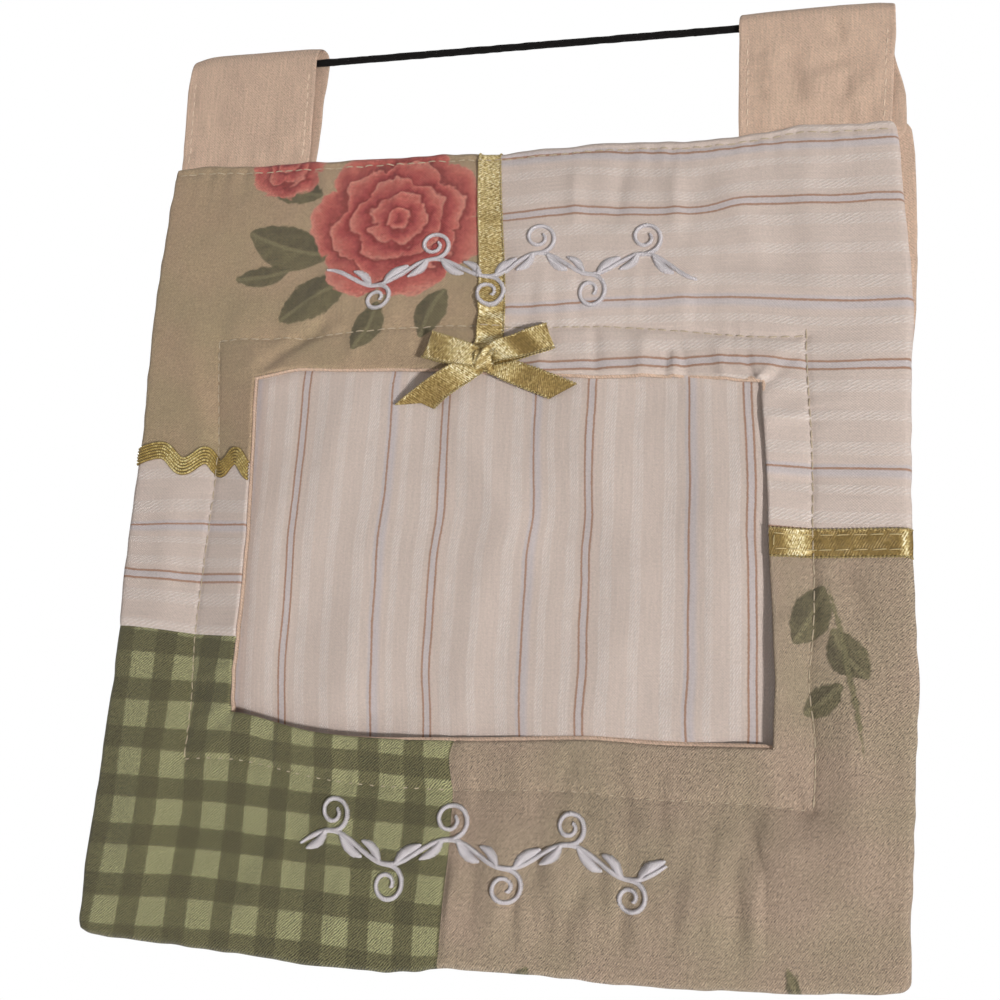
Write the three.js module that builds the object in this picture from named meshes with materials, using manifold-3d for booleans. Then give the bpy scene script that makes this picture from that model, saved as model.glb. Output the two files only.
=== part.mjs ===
// Patchwork cloth photo holder that hangs on a wall from a thin rod through two fabric tabs.
// Millimetres, +X to the viewer's right, +Z up, and the front of the panel faces -Y.
// The origin is on the rod's axis, half way along it, where a wall hook carries the holder.
import * as THREE from "three";
import { mergeVertices } from "three/addons/utils/BufferGeometryUtils.js";
import Module from "manifold-3d";

const wasm = await Module();
wasm.setup();

// Panel and window
const PANEL_WIDTH = 205;
const PANEL_HEIGHT = 215;
const WINDOW_WIDTH = 139;
const WINDOW_HEIGHT = 95;
const WINDOW_DROP = 66.5; // panel's top edge to the window's top edge

// Patchwork seams, as drops below the panel's top edge and as an offset from its middle
const SEAM_X = -6; // upright seams above and below the window
const RICK_RACK_DROP = 89.5;
const GINGHAM_DROP = 136.5;
const RIBBON_DROP = 112.5;
const SEAM_GAP = 0.3;

// Cloth layers and how they stack
const PATCH_THICKNESS = 0.6;
const FACING_THICKNESS = 0.45;
const BACKING_THICKNESS = 0.45;
const BACK_THICKNESS = 0.6;
const TAB_THICKNESS = 0.6;
const PHOTO_SLOT = 0.7; // free depth between the facing and the photo backing
const LAYER_GAP = 0.05; // between cloth layers that lie on each other
const SEAM_ALLOWANCE = 7; // width of the turned-in edge
const FACING_LIP = 0.8; // facing that shows inside the window's edge
const FACING_MARGIN = 15; // window's edge to the facing's outer edge
const BACKING_CLEARANCE = 0.5; // photo backing to the turned-in edge

// Relaxed form of the cloth
const WINDOW_RISE = 2.6; // how far the window's edge stands out of the flat
const BACKING_WAVE = 0.8; // height of the soft waves in the photo backing
const BACKING_WAVE_LENGTH = 62;
const BACKING_WAVE_SLANT = 0.35;
const CLOTH_STEP = 13; // widest cell of the front's cloth sheets
const BACKING_STEP = 12; // and of the photo backing

// Tabs and rod
const TAB_WIDTH = 40;
const TAB_INSET = 1.2; // panel's side edge to the tab's outer edge
const TAB_INSERT = 10; // how far a tab reaches down into the top seam
const TAB_CLEARANCE = 0.3; // tab to the turned-in edge beside it
const ROD_DIAMETER = 2.4;
const ROD_CLEARANCE = 0.3;
const ROD_DROP = 33; // rod's axis to the panel's top edge
const ROD_END_INSET = 2.5; // tab's outer edge to the rod's end
const ROUND_SIDES = 24;

// Trims
const RIBBON_WIDTH = 7;
const TRIM_THICKNESS = 0.35;
const TRIM_GAP = 0.3;
const RICK_RACK_WAVE = 11;
const RICK_RACK_SWING = 2;
const RICK_RACK_BAND = 5.2;
const RICK_RACK_STEPS = 12; // stations in each wave

// Bow
const BOW_X = -3.5;
const BOW_DROP = 61.5;
const KNOT_WIDTH = 6.6;
const KNOT_HEIGHT = 7.2;
const KNOT_DEPTH = 4.8;
const LOOP_LENGTH = 16;
const LOOP_DEPTH = 4;
const LOOP_NECK = 1.8; // depth of a loop where the knot holds it
const LOOP_TILT_LEFT = 9; // degrees above level
const LOOP_TILT_RIGHT = 19;
const TAIL_LENGTH_LEFT = 25;
const TAIL_LENGTH_RIGHT = 23;
const TAIL_DROP_LEFT = 28; // degrees below level
const TAIL_DROP_RIGHT = 17;
const TAIL_NOTCH = 3;
const TAIL_START = 3.2; // from the middle of the knot
const BOW_GAP = 0.15;

// Threads
const THREAD_WIDTH = 0.45;
const THREAD_HEIGHT = 0.3;
const STITCH_STEP = 2; // along a row, where it rises over a trim
const STITCH_MARGIN = 11.5; // window's edge to its row of stitches
const STITCH_CORNER_GAP = 0.4;
const TOP_STITCH_DROP = 2.2;
const SIDE_STITCH_INSET = 1.5; // row's end to the panel's side edge
const RIBBON_STITCH_INSET = 1.2; // ribbon's edge to its row of stitches
const TAB_STITCH_INSET = 2.2;

// Embroidered sprigs, a generic vine with leaves above and below the window
const VINE_LENGTH = 96;
const VINE_WAVE = 32;
const VINE_SWING = 3;
const VINE_WIDTH = 1.1;
const VINE_HEIGHT = 0.4;
const VINE_STEP = 3;
const LEAF_LENGTH = 8;
const LEAF_WIDTH = 3.2;
const LEAF_TURN = 48; // degrees off the stem
const LEAF_STEPS = 4;
const VINE_UPPER_DROP = 41;
const VINE_LOWER_DROP = 188;
const VINE_UPPER_X = 0;
const VINE_LOWER_X = 3;

// The main folds that show in the hung cloth. Reach is along a fold, spread across it, and turn is in degrees
const FOLDS = [
  { x: -75, drop: 60, reach: 15, spread: 4, height: 0.9, turn: 50 },
  { x: 48, drop: 30, reach: 24, spread: 6, height: 0.7, turn: 8 },
  { x: 22, drop: 192, reach: 18, spread: 4, height: 0.7, turn: -10 },
  { x: 36, drop: 196, reach: 16, spread: 4, height: 0.6, turn: -6 },
  { x: -86, drop: 112, reach: 28, spread: 5, height: 0.7, turn: 0 },
];

// Places that follow from the sizes above
const HALF_WIDTH = PANEL_WIDTH / 2;
const HALF_WINDOW = WINDOW_WIDTH / 2;
const PANEL_TOP = -ROD_DROP;
const PANEL_BOTTOM = PANEL_TOP - PANEL_HEIGHT;
const WINDOW_TOP = PANEL_TOP - WINDOW_DROP;
const WINDOW_BOTTOM = WINDOW_TOP - WINDOW_HEIGHT;
const RICK_RACK_Z = PANEL_TOP - RICK_RACK_DROP;
const GINGHAM_Z = PANEL_TOP - GINGHAM_DROP;
const RIBBON_Z = PANEL_TOP - RIBBON_DROP;
const SIDE_MARGIN = HALF_WIDTH - HALF_WINDOW;
const BOTTOM_MARGIN = WINDOW_BOTTOM - PANEL_BOTTOM;
const CORE_DEPTH = FACING_THICKNESS + PHOTO_SLOT + BACKING_THICKNESS;
const TAB_STACK = 2 * TAB_THICKNESS + 4 * LAYER_GAP;
const HOLLOW = Math.max(CORE_DEPTH, TAB_STACK) / 2; // patches and back panel stand this far from the middle
const PATCH_FRONT = HOLLOW + PATCH_THICKNESS;
const BACKING_HALF_WIDTH = HALF_WIDTH - SEAM_ALLOWANCE - BACKING_CLEARANCE;
const BACKING_TOP = PANEL_TOP - Math.max(SEAM_ALLOWANCE, TAB_INSERT) - BACKING_CLEARANCE;
const BACKING_BOTTOM = PANEL_BOTTOM + SEAM_ALLOWANCE + BACKING_CLEARANCE;
const STITCH_X = HALF_WINDOW + STITCH_MARGIN;
const STITCH_TOP = WINDOW_TOP + STITCH_MARGIN;
const STITCH_BOTTOM = WINDOW_BOTTOM - STITCH_MARGIN;
const TAB_INNER = HALF_WIDTH - TAB_INSET - TAB_WIDTH;
const TAB_OUTER = HALF_WIDTH - TAB_INSET;
const LOOP_INNER_RADIUS = ROD_DIAMETER / 2 + ROD_CLEARANCE;
const LOOP_OUTER_RADIUS = LOOP_INNER_RADIUS + TAB_THICKNESS;

// Colours and finishes
const cloth = (color) => new THREE.MeshStandardMaterial({ color, roughness: 0.95, metalness: 0 });
const TAN_COTTON = cloth("#a08a6b");
const STRIPE_COTTON = cloth("#cdb8ae");
const GINGHAM_COTTON = cloth("#5f5f3a");
const PEACH_COTTON = cloth("#cfab90");
const CREAM_THREAD = cloth("#d8c7a6");
const WHITE_THREAD = cloth("#e6e0e6");
const GOLD_SATIN = new THREE.MeshStandardMaterial({ color: "#a88f45", roughness: 0.4, metalness: 0.15 });
const GOLD_BRAID = new THREE.MeshStandardMaterial({ color: "#8f7c35", roughness: 0.45, metalness: 0.35 });
const BLACK_PAINT = new THREE.MeshStandardMaterial({ color: "#141211", roughness: 0.6, metalness: 0.1 });

const holder = new THREE.Group();

function addPiece(name, geometry, material, parent = holder) {
  const mesh = new THREE.Mesh(geometry, material);
  mesh.name = name;
  parent.add(mesh);
  return mesh;
}

// A solid for cutting and joining, and back again
function toSolid(geometry) {
  const bare = geometry.clone();
  bare.deleteAttribute("normal");
  bare.deleteAttribute("uv");
  const merged = mergeVertices(bare, 1e-4);
  return new wasm.Manifold(
    new wasm.Mesh({
      numProp: 3,
      vertProperties: merged.attributes.position.array,
      triVerts: new Uint32Array(merged.index.array),
    }),
  );
}

function toGeometry(solid) {
  const mesh = solid.getMesh();
  const geometry = new THREE.BufferGeometry();
  geometry.setAttribute("position", new THREE.BufferAttribute(mesh.vertProperties, 3));
  geometry.setIndex(new THREE.BufferAttribute(mesh.triVerts, 1));
  geometry.computeVertexNormals();
  return geometry;
}

function boxSolid(x0, x1, y0, y1, z0, z1) {
  const box = new THREE.BoxGeometry(x1 - x0, y1 - y0, z1 - z0);
  box.translate((x0 + x1) / 2, (y0 + y1) / 2, (z0 + z1) / 2);
  return toSolid(box);
}

function closedGeometry(positions, index) {
  const geometry = new THREE.BufferGeometry();
  geometry.setAttribute("position", new THREE.Float32BufferAttribute(positions, 3));
  geometry.setIndex(index);
  geometry.computeVertexNormals();
  return geometry;
}

// The relaxed form of the cloth
function foldHeight(fold, x, z) {
  const turn = THREE.MathUtils.degToRad(fold.turn);
  const dx = x - fold.x;
  const dz = z - (PANEL_TOP - fold.drop);
  const across = dx * Math.cos(turn) + dz * Math.sin(turn);
  const along = dz * Math.cos(turn) - dx * Math.sin(turn);
  return fold.height * Math.exp(-((across / fold.spread) ** 2) - (along / fold.reach) ** 2);
}

// 0 along the panel's outer edge and 1 along the window's edge
function towardsWindow(x, z) {
  const side = (HALF_WIDTH - Math.abs(x)) / SIDE_MARGIN;
  const above = (PANEL_TOP - z) / WINDOW_DROP;
  const below = (z - PANEL_BOTTOM) / BOTTOM_MARGIN;
  return THREE.MathUtils.clamp(Math.min(side, above, below), 0, 1);
}

function frontRise(x, z) {
  const share = towardsWindow(x, z);
  const rise = WINDOW_RISE * THREE.MathUtils.smoothstep(share, 0, 1);
  const folds = FOLDS.reduce((sum, fold) => sum + foldHeight(fold, x, z), 0);
  return rise + folds * THREE.MathUtils.smoothstep(share, 0, 0.4);
}

const frontFace = (x, z) => -(PATCH_FRONT + frontRise(x, z));

function backingRise(x, z) {
  const wave = Math.sin((2 * Math.PI * (x + BACKING_WAVE_SLANT * z)) / BACKING_WAVE_LENGTH);
  const fade = THREE.MathUtils.smoothstep(towardsWindow(x, z), 0.4, 1);
  return (BACKING_WAVE * fade * (1 + wave)) / 2;
}

// Lines through every stop, with more between them where they are far apart
function gridLines(stops, widest) {
  const sorted = [...stops].sort((a, b) => a - b);
  const lines = [sorted[0]];
  for (const stop of sorted.slice(1)) {
    const start = lines[lines.length - 1];
    const span = stop - start;
    if (span < 0.02) continue;
    const cells = Math.ceil(span / widest);
    for (let k = 1; k <= cells; k++) lines.push(start + (span * k) / cells);
  }
  return lines;
}

// One grid that all sheets of the front share, so that its layers stay parallel
const either = (place, half) => [place - half, place + half];
const FRONT_GRID = {
  xs: gridLines(
    [
      ...either(0, HALF_WIDTH),
      ...either(0, HALF_WINDOW),
      ...either(0, HALF_WINDOW - FACING_LIP),
      ...either(0, HALF_WINDOW + FACING_MARGIN),
      ...either(SEAM_X, SEAM_GAP / 2),
      ...either(SEAM_X, RIBBON_WIDTH / 2),
    ],
    CLOTH_STEP,
  ),
  zs: gridLines(
    [
      PANEL_TOP,
      PANEL_BOTTOM,
      WINDOW_TOP + FACING_MARGIN,
      WINDOW_TOP,
      WINDOW_TOP - FACING_LIP,
      WINDOW_BOTTOM + FACING_LIP,
      WINDOW_BOTTOM,
      WINDOW_BOTTOM - FACING_MARGIN,
      ...either(RICK_RACK_Z, SEAM_GAP / 2),
      ...either(GINGHAM_Z, SEAM_GAP / 2),
      ...either(RIBBON_Z, SEAM_GAP / 2),
      ...either(RIBBON_Z, RIBBON_WIDTH / 2),
    ],
    CLOTH_STEP,
  ),
};
const BACKING_GRID = {
  xs: gridLines(either(0, BACKING_HALF_WIDTH), BACKING_STEP),
  zs: gridLines([BACKING_BOTTOM, BACKING_TOP], BACKING_STEP),
};

// A closed sheet of cloth over the grid cells whose middles are inside, from frontAt back to backAt
function sheet(grid, inside, frontAt, backAt) {
  const { xs, zs } = grid;
  const positions = [];
  const index = [];
  const found = new Map();
  const kept = (i, j) =>
    i >= 0 &&
    j >= 0 &&
    i < xs.length - 1 &&
    j < zs.length - 1 &&
    inside((xs[i] + xs[i + 1]) / 2, (zs[j] + zs[j + 1]) / 2);
  const corner = (i, j, faceAt, side) => {
    const key = `${side} ${i} ${j}`;
    if (!found.has(key)) {
      found.set(key, positions.length / 3);
      positions.push(xs[i], faceAt(xs[i], zs[j]), zs[j]);
    }
    return found.get(key);
  };
  const front = (i, j) => corner(i, j, frontAt, "front");
  const back = (i, j) => corner(i, j, backAt, "back");
  const quad = (a, b, c, d) => index.push(a, b, c, a, c, d);
  for (let i = 0; i < xs.length - 1; i++) {
    for (let j = 0; j < zs.length - 1; j++) {
      if (!kept(i, j)) continue;
      quad(front(i, j), front(i + 1, j), front(i + 1, j + 1), front(i, j + 1));
      quad(back(i, j), back(i, j + 1), back(i + 1, j + 1), back(i + 1, j));
      if (!kept(i - 1, j)) quad(front(i, j), front(i, j + 1), back(i, j + 1), back(i, j));
      if (!kept(i + 1, j)) quad(front(i + 1, j), back(i + 1, j), back(i + 1, j + 1), front(i + 1, j + 1));
      if (!kept(i, j - 1)) quad(front(i, j), back(i, j), back(i + 1, j), front(i + 1, j));
      if (!kept(i, j + 1)) quad(front(i, j + 1), front(i + 1, j + 1), back(i + 1, j + 1), back(i, j + 1));
    }
  }
  return closedGeometry(positions, index);
}

// A closed flat band on the front of the cloth, along points (x, z), lift in front of the patches
function band(points, halfWidthAt, height, liftAt, sideAt) {
  const positions = [];
  const index = [];
  const quad = (a, b, c, d) => index.push(a, b, c, a, c, d);
  points.forEach((point, k) => {
    const before = points[Math.max(k - 1, 0)];
    const after = points[Math.min(k + 1, points.length - 1)];
    const ahead = after.clone().sub(before).normalize();
    const side = sideAt ? sideAt(k) : new THREE.Vector2(-ahead.y, ahead.x);
    const half = halfWidthAt(k / (points.length - 1));
    const left = point.clone().addScaledVector(side, half);
    const right = point.clone().addScaledVector(side, -half);
    const lift = liftAt(point.x, point.y);
    const leftY = frontFace(left.x, left.y) - lift;
    const rightY = frontFace(right.x, right.y) - lift;
    positions.push(left.x, leftY, left.y, right.x, rightY, right.y);
    positions.push(right.x, rightY - height, right.y, left.x, leftY - height, left.y);
  });
  const [BACK_LEFT, BACK_RIGHT, FRONT_RIGHT, FRONT_LEFT] = [0, 1, 2, 3];
  for (let k = 0; k < points.length - 1; k++) {
    const here = (c) => 4 * k + c;
    const next = (c) => 4 * (k + 1) + c;
    quad(here(FRONT_RIGHT), next(FRONT_RIGHT), next(FRONT_LEFT), here(FRONT_LEFT));
    quad(here(BACK_LEFT), next(BACK_LEFT), next(BACK_RIGHT), here(BACK_RIGHT));
    quad(here(FRONT_LEFT), next(FRONT_LEFT), next(BACK_LEFT), here(BACK_LEFT));
    quad(here(BACK_RIGHT), next(BACK_RIGHT), next(FRONT_RIGHT), here(FRONT_RIGHT));
  }
  const last = 4 * (points.length - 1);
  quad(FRONT_RIGHT, FRONT_LEFT, BACK_LEFT, BACK_RIGHT);
  quad(last + FRONT_RIGHT, last + BACK_RIGHT, last + BACK_LEFT, last + FRONT_LEFT);
  return closedGeometry(positions, index);
}

// Patches of the front, each cut round the window
const inWindow = (x, z, grow = 0) =>
  Math.abs(x) < HALF_WINDOW + grow && z < WINDOW_TOP + grow && z > WINDOW_BOTTOM - grow;
const leftOfSeam = (x) => x < SEAM_X - SEAM_GAP / 2;
const rightOfSeam = (x) => x > SEAM_X + SEAM_GAP / 2;
const above = (z, seam) => z > seam + SEAM_GAP / 2;
const below = (z, seam) => z < seam - SEAM_GAP / 2;

function addPatch(name, material, inside) {
  const geometry = sheet(
    FRONT_GRID,
    (x, z) => inside(x, z) && !inWindow(x, z),
    frontFace,
    (x, z) => frontFace(x, z) + PATCH_THICKNESS,
  );
  addPiece(name, geometry, material);
}

addPatch("patch_rose", TAN_COTTON, (x, z) => leftOfSeam(x) && above(z, RICK_RACK_Z));
addPatch("patch_stripe_right", STRIPE_COTTON, (x, z) => rightOfSeam(x) && above(z, RIBBON_Z));
addPatch("patch_stripe_left", STRIPE_COTTON, (x, z) => x < 0 && below(z, RICK_RACK_Z) && above(z, GINGHAM_Z));
addPatch("patch_gingham", GINGHAM_COTTON, (x, z) => leftOfSeam(x) && below(z, GINGHAM_Z));
addPatch("patch_tan", TAN_COTTON, (x, z) => rightOfSeam(x) && below(z, RIBBON_Z));

// Facing that finishes the window, behind the patches, with a narrow lip inside the window
function addFacing() {
  const behind = (x, z) => frontFace(x, z) + PATCH_THICKNESS + LAYER_GAP;
  const geometry = sheet(
    FRONT_GRID,
    (x, z) => inWindow(x, z, FACING_MARGIN) && !inWindow(x, z, -FACING_LIP),
    behind,
    (x, z) => behind(x, z) + FACING_THICKNESS - LAYER_GAP,
  );
  addPiece("window_facing", geometry, PEACH_COTTON);
}
addFacing();

// Striped backing that shows in the empty window and stands behind a print
function addPhotoBacking() {
  const rear = HOLLOW - LAYER_GAP;
  const geometry = sheet(
    BACKING_GRID,
    () => true,
    (x, z) => rear - BACKING_THICKNESS + LAYER_GAP - backingRise(x, z),
    (x, z) => rear - backingRise(x, z),
  );
  addPiece("photo_backing", geometry, STRIPE_COTTON);
}
addPhotoBacking();

// Back panel with its seam allowance turned in all round, notched where the tabs go down into the top seam
function addBackPanel() {
  const face = HOLLOW;
  const rear = HOLLOW + BACK_THICKNESS;
  const allowanceFront = -HOLLOW + LAYER_GAP;
  const whole = boxSolid(-HALF_WIDTH, HALF_WIDTH, allowanceFront, rear, PANEL_BOTTOM, PANEL_TOP);
  const pocketHalf = HALF_WIDTH - SEAM_ALLOWANCE;
  const pocket = boxSolid(
    -pocketHalf,
    pocketHalf,
    allowanceFront - 1,
    face,
    PANEL_BOTTOM + SEAM_ALLOWANCE,
    PANEL_TOP - SEAM_ALLOWANCE,
  );
  const notch = (side) => {
    const inner = side * (TAB_INNER - TAB_CLEARANCE);
    const outer = side * (HALF_WIDTH + 1);
    const bottom = PANEL_TOP - TAB_INSERT - TAB_CLEARANCE;
    const [low, high] = [Math.min(inner, outer), Math.max(inner, outer)];
    return boxSolid(low, high, allowanceFront - 1, face, bottom, PANEL_TOP + 1);
  };
  const cut = whole.subtract(pocket).subtract(notch(-1)).subtract(notch(1));
  addPiece("back_panel", toGeometry(cut), PEACH_COTTON);
}
addBackPanel();

// Hanging tabs: one strip each, over the rod and down into the top seam
function tabProfile() {
  const seamInner = LAYER_GAP;
  const seamOuter = LAYER_GAP + TAB_THICKNESS;
  const foot = PANEL_TOP - TAB_INSERT;
  const mouth = PANEL_TOP + TAB_THICKNESS;
  const profile = new THREE.Shape();
  profile.moveTo(-seamOuter, foot);
  profile.lineTo(-seamInner, foot);
  profile.lineTo(-seamInner, mouth);
  profile.lineTo(-LOOP_INNER_RADIUS, 0);
  profile.absarc(0, 0, LOOP_INNER_RADIUS, Math.PI, 0, true);
  profile.lineTo(seamInner, mouth);
  profile.lineTo(seamInner, foot);
  profile.lineTo(seamOuter, foot);
  profile.lineTo(seamOuter, mouth);
  profile.lineTo(LOOP_OUTER_RADIUS, 0);
  profile.absarc(0, 0, LOOP_OUTER_RADIUS, 0, Math.PI, false);
  profile.lineTo(-seamOuter, mouth);
  return profile;
}

// Extrudes a profile drawn in (y, z) along +X from a start
function alongX(profile, start, length) {
  const geometry = new THREE.ExtrudeGeometry(profile, {
    depth: length,
    bevelEnabled: false,
    curveSegments: ROUND_SIDES / 2,
  });
  const toWorld = new THREE.Matrix4().makeBasis(
    new THREE.Vector3(0, 1, 0),
    new THREE.Vector3(0, 0, 1),
    new THREE.Vector3(1, 0, 0),
  );
  return geometry.applyMatrix4(toWorld).translate(start, 0, 0);
}

// A row of stitches down the front leg of a tab
function tabStitchProfile() {
  const top = -ROD_DIAMETER;
  const bottom = PANEL_TOP + TAB_THICKNESS;
  const seamOuter = LAYER_GAP + TAB_THICKNESS;
  const legAt = (z) => -(seamOuter + ((LOOP_OUTER_RADIUS - seamOuter) * (z - bottom)) / -bottom);
  const rowFoot = bottom + 2 * THREAD_HEIGHT;
  const profile = new THREE.Shape();
  profile.moveTo(legAt(top) - LAYER_GAP, top);
  profile.lineTo(legAt(top) - LAYER_GAP - THREAD_HEIGHT, top);
  profile.lineTo(legAt(rowFoot) - LAYER_GAP - THREAD_HEIGHT, rowFoot);
  profile.lineTo(legAt(rowFoot) - LAYER_GAP, rowFoot);
  return profile;
}

function addTab(name, start) {
  addPiece(name, alongX(tabProfile(), start, TAB_WIDTH), PEACH_COTTON);
  const rows = { left: TAB_STITCH_INSET, right: TAB_WIDTH - TAB_STITCH_INSET - THREAD_WIDTH };
  for (const [side, inset] of Object.entries(rows)) {
    addPiece(`${name}_stitch_${side}`, alongX(tabStitchProfile(), start + inset, THREAD_WIDTH), CREAM_THREAD);
  }
}
addTab("tab_left", -TAB_OUTER);
addTab("tab_right", TAB_INNER);

// Hanging rod
function addRod() {
  const length = 2 * (TAB_OUTER - ROD_END_INSET);
  const rod = new THREE.CylinderGeometry(ROD_DIAMETER / 2, ROD_DIAMETER / 2, length, ROUND_SIDES);
  addPiece("hanging_rod", rod.rotateZ(Math.PI / 2), BLACK_PAINT);
}
addRod();

// Flat ribbons over the seams
function addRibbon(name, inside) {
  const geometry = sheet(
    FRONT_GRID,
    inside,
    (x, z) => frontFace(x, z) - LAYER_GAP - TRIM_THICKNESS,
    (x, z) => frontFace(x, z) - LAYER_GAP,
  );
  addPiece(name, geometry, GOLD_SATIN);
}
const onUprightRibbon = (x, z) => Math.abs(x - SEAM_X) < RIBBON_WIDTH / 2 && z > WINDOW_TOP;
const onLevelRibbon = (x, z) => x > HALF_WINDOW && Math.abs(z - RIBBON_Z) < RIBBON_WIDTH / 2;
addRibbon("ribbon_upright", onUprightRibbon);
addRibbon("ribbon_level", onLevelRibbon);

// Wavy braid over the seam beside the window
function addRickRack() {
  const start = -HALF_WIDTH;
  const length = SIDE_MARGIN;
  const steps = Math.ceil((length / RICK_RACK_WAVE) * RICK_RACK_STEPS);
  const points = [];
  for (let k = 0; k <= steps; k++) {
    const along = (length * k) / steps;
    const swing = RICK_RACK_SWING * Math.sin((2 * Math.PI * along) / RICK_RACK_WAVE);
    points.push(new THREE.Vector2(start + along, RICK_RACK_Z + swing));
  }
  const upright = () => new THREE.Vector2(0, 1);
  const geometry = band(points, () => RICK_RACK_BAND / 2, TRIM_THICKNESS, () => TRIM_GAP, upright);
  addPiece("rick_rack", geometry, GOLD_BRAID);
}
addRickRack();

// Rows of stitches on the panel, which rise over the trims that they cross
const RISE_MARGIN = 1; // a thread starts to rise this far from a trim
function overTrim(x, z) {
  const nearUpright = Math.abs(x - SEAM_X) < RIBBON_WIDTH / 2 + RISE_MARGIN && z > WINDOW_TOP;
  const nearLevel = x > HALF_WINDOW && Math.abs(z - RIBBON_Z) < RIBBON_WIDTH / 2 + RISE_MARGIN;
  const braidReach = RICK_RACK_SWING + RICK_RACK_BAND / 2 + RISE_MARGIN;
  const nearBraid = x < -HALF_WINDOW && Math.abs(z - RICK_RACK_Z) < braidReach;
  return nearUpright || nearLevel || nearBraid;
}

function stitchLift(x, z) {
  const clear = overTrim(x, z) ? TRIM_THICKNESS + THREAD_HEIGHT + LAYER_GAP : 0;
  return TRIM_GAP + clear;
}

function addStitchRow(name, from, to) {
  const steps = Math.ceil(from.distanceTo(to) / STITCH_STEP);
  const points = [];
  for (let k = 0; k <= steps; k++) points.push(from.clone().lerp(to, k / steps));
  const lifted = points.map((p) => stitchLift(p.x, p.y));
  const rises = (k) => lifted[k] !== lifted[k - 1] || lifted[k] !== lifted[k + 1];
  const kept = points.filter((_, k) => k % 5 === 0 || k === steps || rises(k));
  addPiece(name, band(kept, () => THREAD_WIDTH / 2, THREAD_HEIGHT, stitchLift), CREAM_THREAD);
}

const place = (x, z) => new THREE.Vector2(x, z);
const rowHalf = STITCH_X - THREAD_WIDTH / 2 - STITCH_CORNER_GAP;
addStitchRow("window_stitch_top", place(-rowHalf, STITCH_TOP), place(rowHalf, STITCH_TOP));
addStitchRow("window_stitch_bottom", place(-rowHalf, STITCH_BOTTOM), place(rowHalf, STITCH_BOTTOM));
addStitchRow("window_stitch_left", place(-STITCH_X, STITCH_BOTTOM), place(-STITCH_X, STITCH_TOP));
addStitchRow("window_stitch_right", place(STITCH_X, STITCH_BOTTOM), place(STITCH_X, STITCH_TOP));

const topRowHalf = HALF_WIDTH - SIDE_STITCH_INSET;
const topRowZ = PANEL_TOP - TOP_STITCH_DROP;
addStitchRow("top_edge_stitch", place(-topRowHalf, topRowZ), place(topRowHalf, topRowZ));

// Two rows that hold the level ribbon down
function addRibbonStitch(name, z) {
  const steps = Math.ceil((HALF_WIDTH - HALF_WINDOW) / (2 * STITCH_STEP));
  const start = HALF_WINDOW + SIDE_STITCH_INSET;
  const span = HALF_WIDTH - SIDE_STITCH_INSET - start;
  const points = [];
  for (let k = 0; k <= steps; k++) points.push(place(start + (span * k) / steps, z));
  const lift = () => LAYER_GAP + TRIM_THICKNESS + TRIM_GAP / 2;
  addPiece(name, band(points, () => THREAD_WIDTH / 2, (2 / 3) * THREAD_HEIGHT, lift), CREAM_THREAD);
}
const ribbonRow = RIBBON_WIDTH / 2 - RIBBON_STITCH_INSET;
addRibbonStitch("ribbon_stitch_upper", RIBBON_Z + ribbonRow);
addRibbonStitch("ribbon_stitch_lower", RIBBON_Z - ribbonRow);

// Bow on the end of the upright ribbon: a knot, two loops and two tails
function loopOutline(inset) {
  const points = [];
  const length = LOOP_LENGTH - 2 * inset;
  const steps = 12;
  for (let k = 0; k <= steps; k++) {
    const share = (k / steps) * 0.82;
    const swell = Math.sin((Math.PI / 2) * Math.min(1, share / 0.6));
    const half = (LOOP_NECK + (LOOP_DEPTH - LOOP_NECK) * swell) / 2 - inset;
    points.push(new THREE.Vector2(inset + length * share, half));
  }
  const tip = points[points.length - 1];
  const radius = inset + length - tip.x;
  for (let k = 1; k <= 4; k++) {
    const turn = (Math.PI / 2) * (k / 4);
    points.push(new THREE.Vector2(tip.x + radius * Math.sin(turn), tip.y * Math.cos(turn)));
  }
  const mirrored = points.slice(0, -1).reverse();
  return points.concat(mirrored.map((p) => new THREE.Vector2(p.x, -p.y)));
}

function addLoop(name, bow, towards, tilt) {
  const outline = new THREE.Shape(loopOutline(0));
  outline.holes.push(new THREE.Path(loopOutline(TRIM_THICKNESS).reverse()));
  const geometry = new THREE.ExtrudeGeometry(outline, { depth: RIBBON_WIDTH, bevelEnabled: false });
  geometry.translate(KNOT_WIDTH / 2 + BOW_GAP, 0, -RIBBON_WIDTH / 2);
  const loop = addPiece(name, geometry, GOLD_SATIN, bow);
  loop.position.y = -(TRIM_THICKNESS + BOW_GAP + KNOT_DEPTH / 2);
  loop.rotation.order = "YZX";
  loop.rotation.z = towards > 0 ? 0 : Math.PI;
  loop.rotation.y = -towards * THREE.MathUtils.degToRad(tilt);
}

function addTail(name, bow, towards, length, drop, cut) {
  const half = RIBBON_WIDTH / 2;
  const outline = new THREE.Shape();
  outline.moveTo(TAIL_START, -half);
  outline.lineTo(cut.low, -half);
  if (cut.notch) outline.lineTo(cut.notch, 0);
  outline.lineTo(cut.high, half);
  outline.lineTo(TAIL_START, half);
  const geometry = new THREE.ExtrudeGeometry(outline, { depth: TRIM_THICKNESS, bevelEnabled: false });
  geometry.rotateX(Math.PI / 2);
  const tail = addPiece(name, geometry, GOLD_SATIN, bow);
  const heading = towards > 0 ? -drop : 180 + drop;
  tail.rotation.y = -THREE.MathUtils.degToRad(heading);
}

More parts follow.
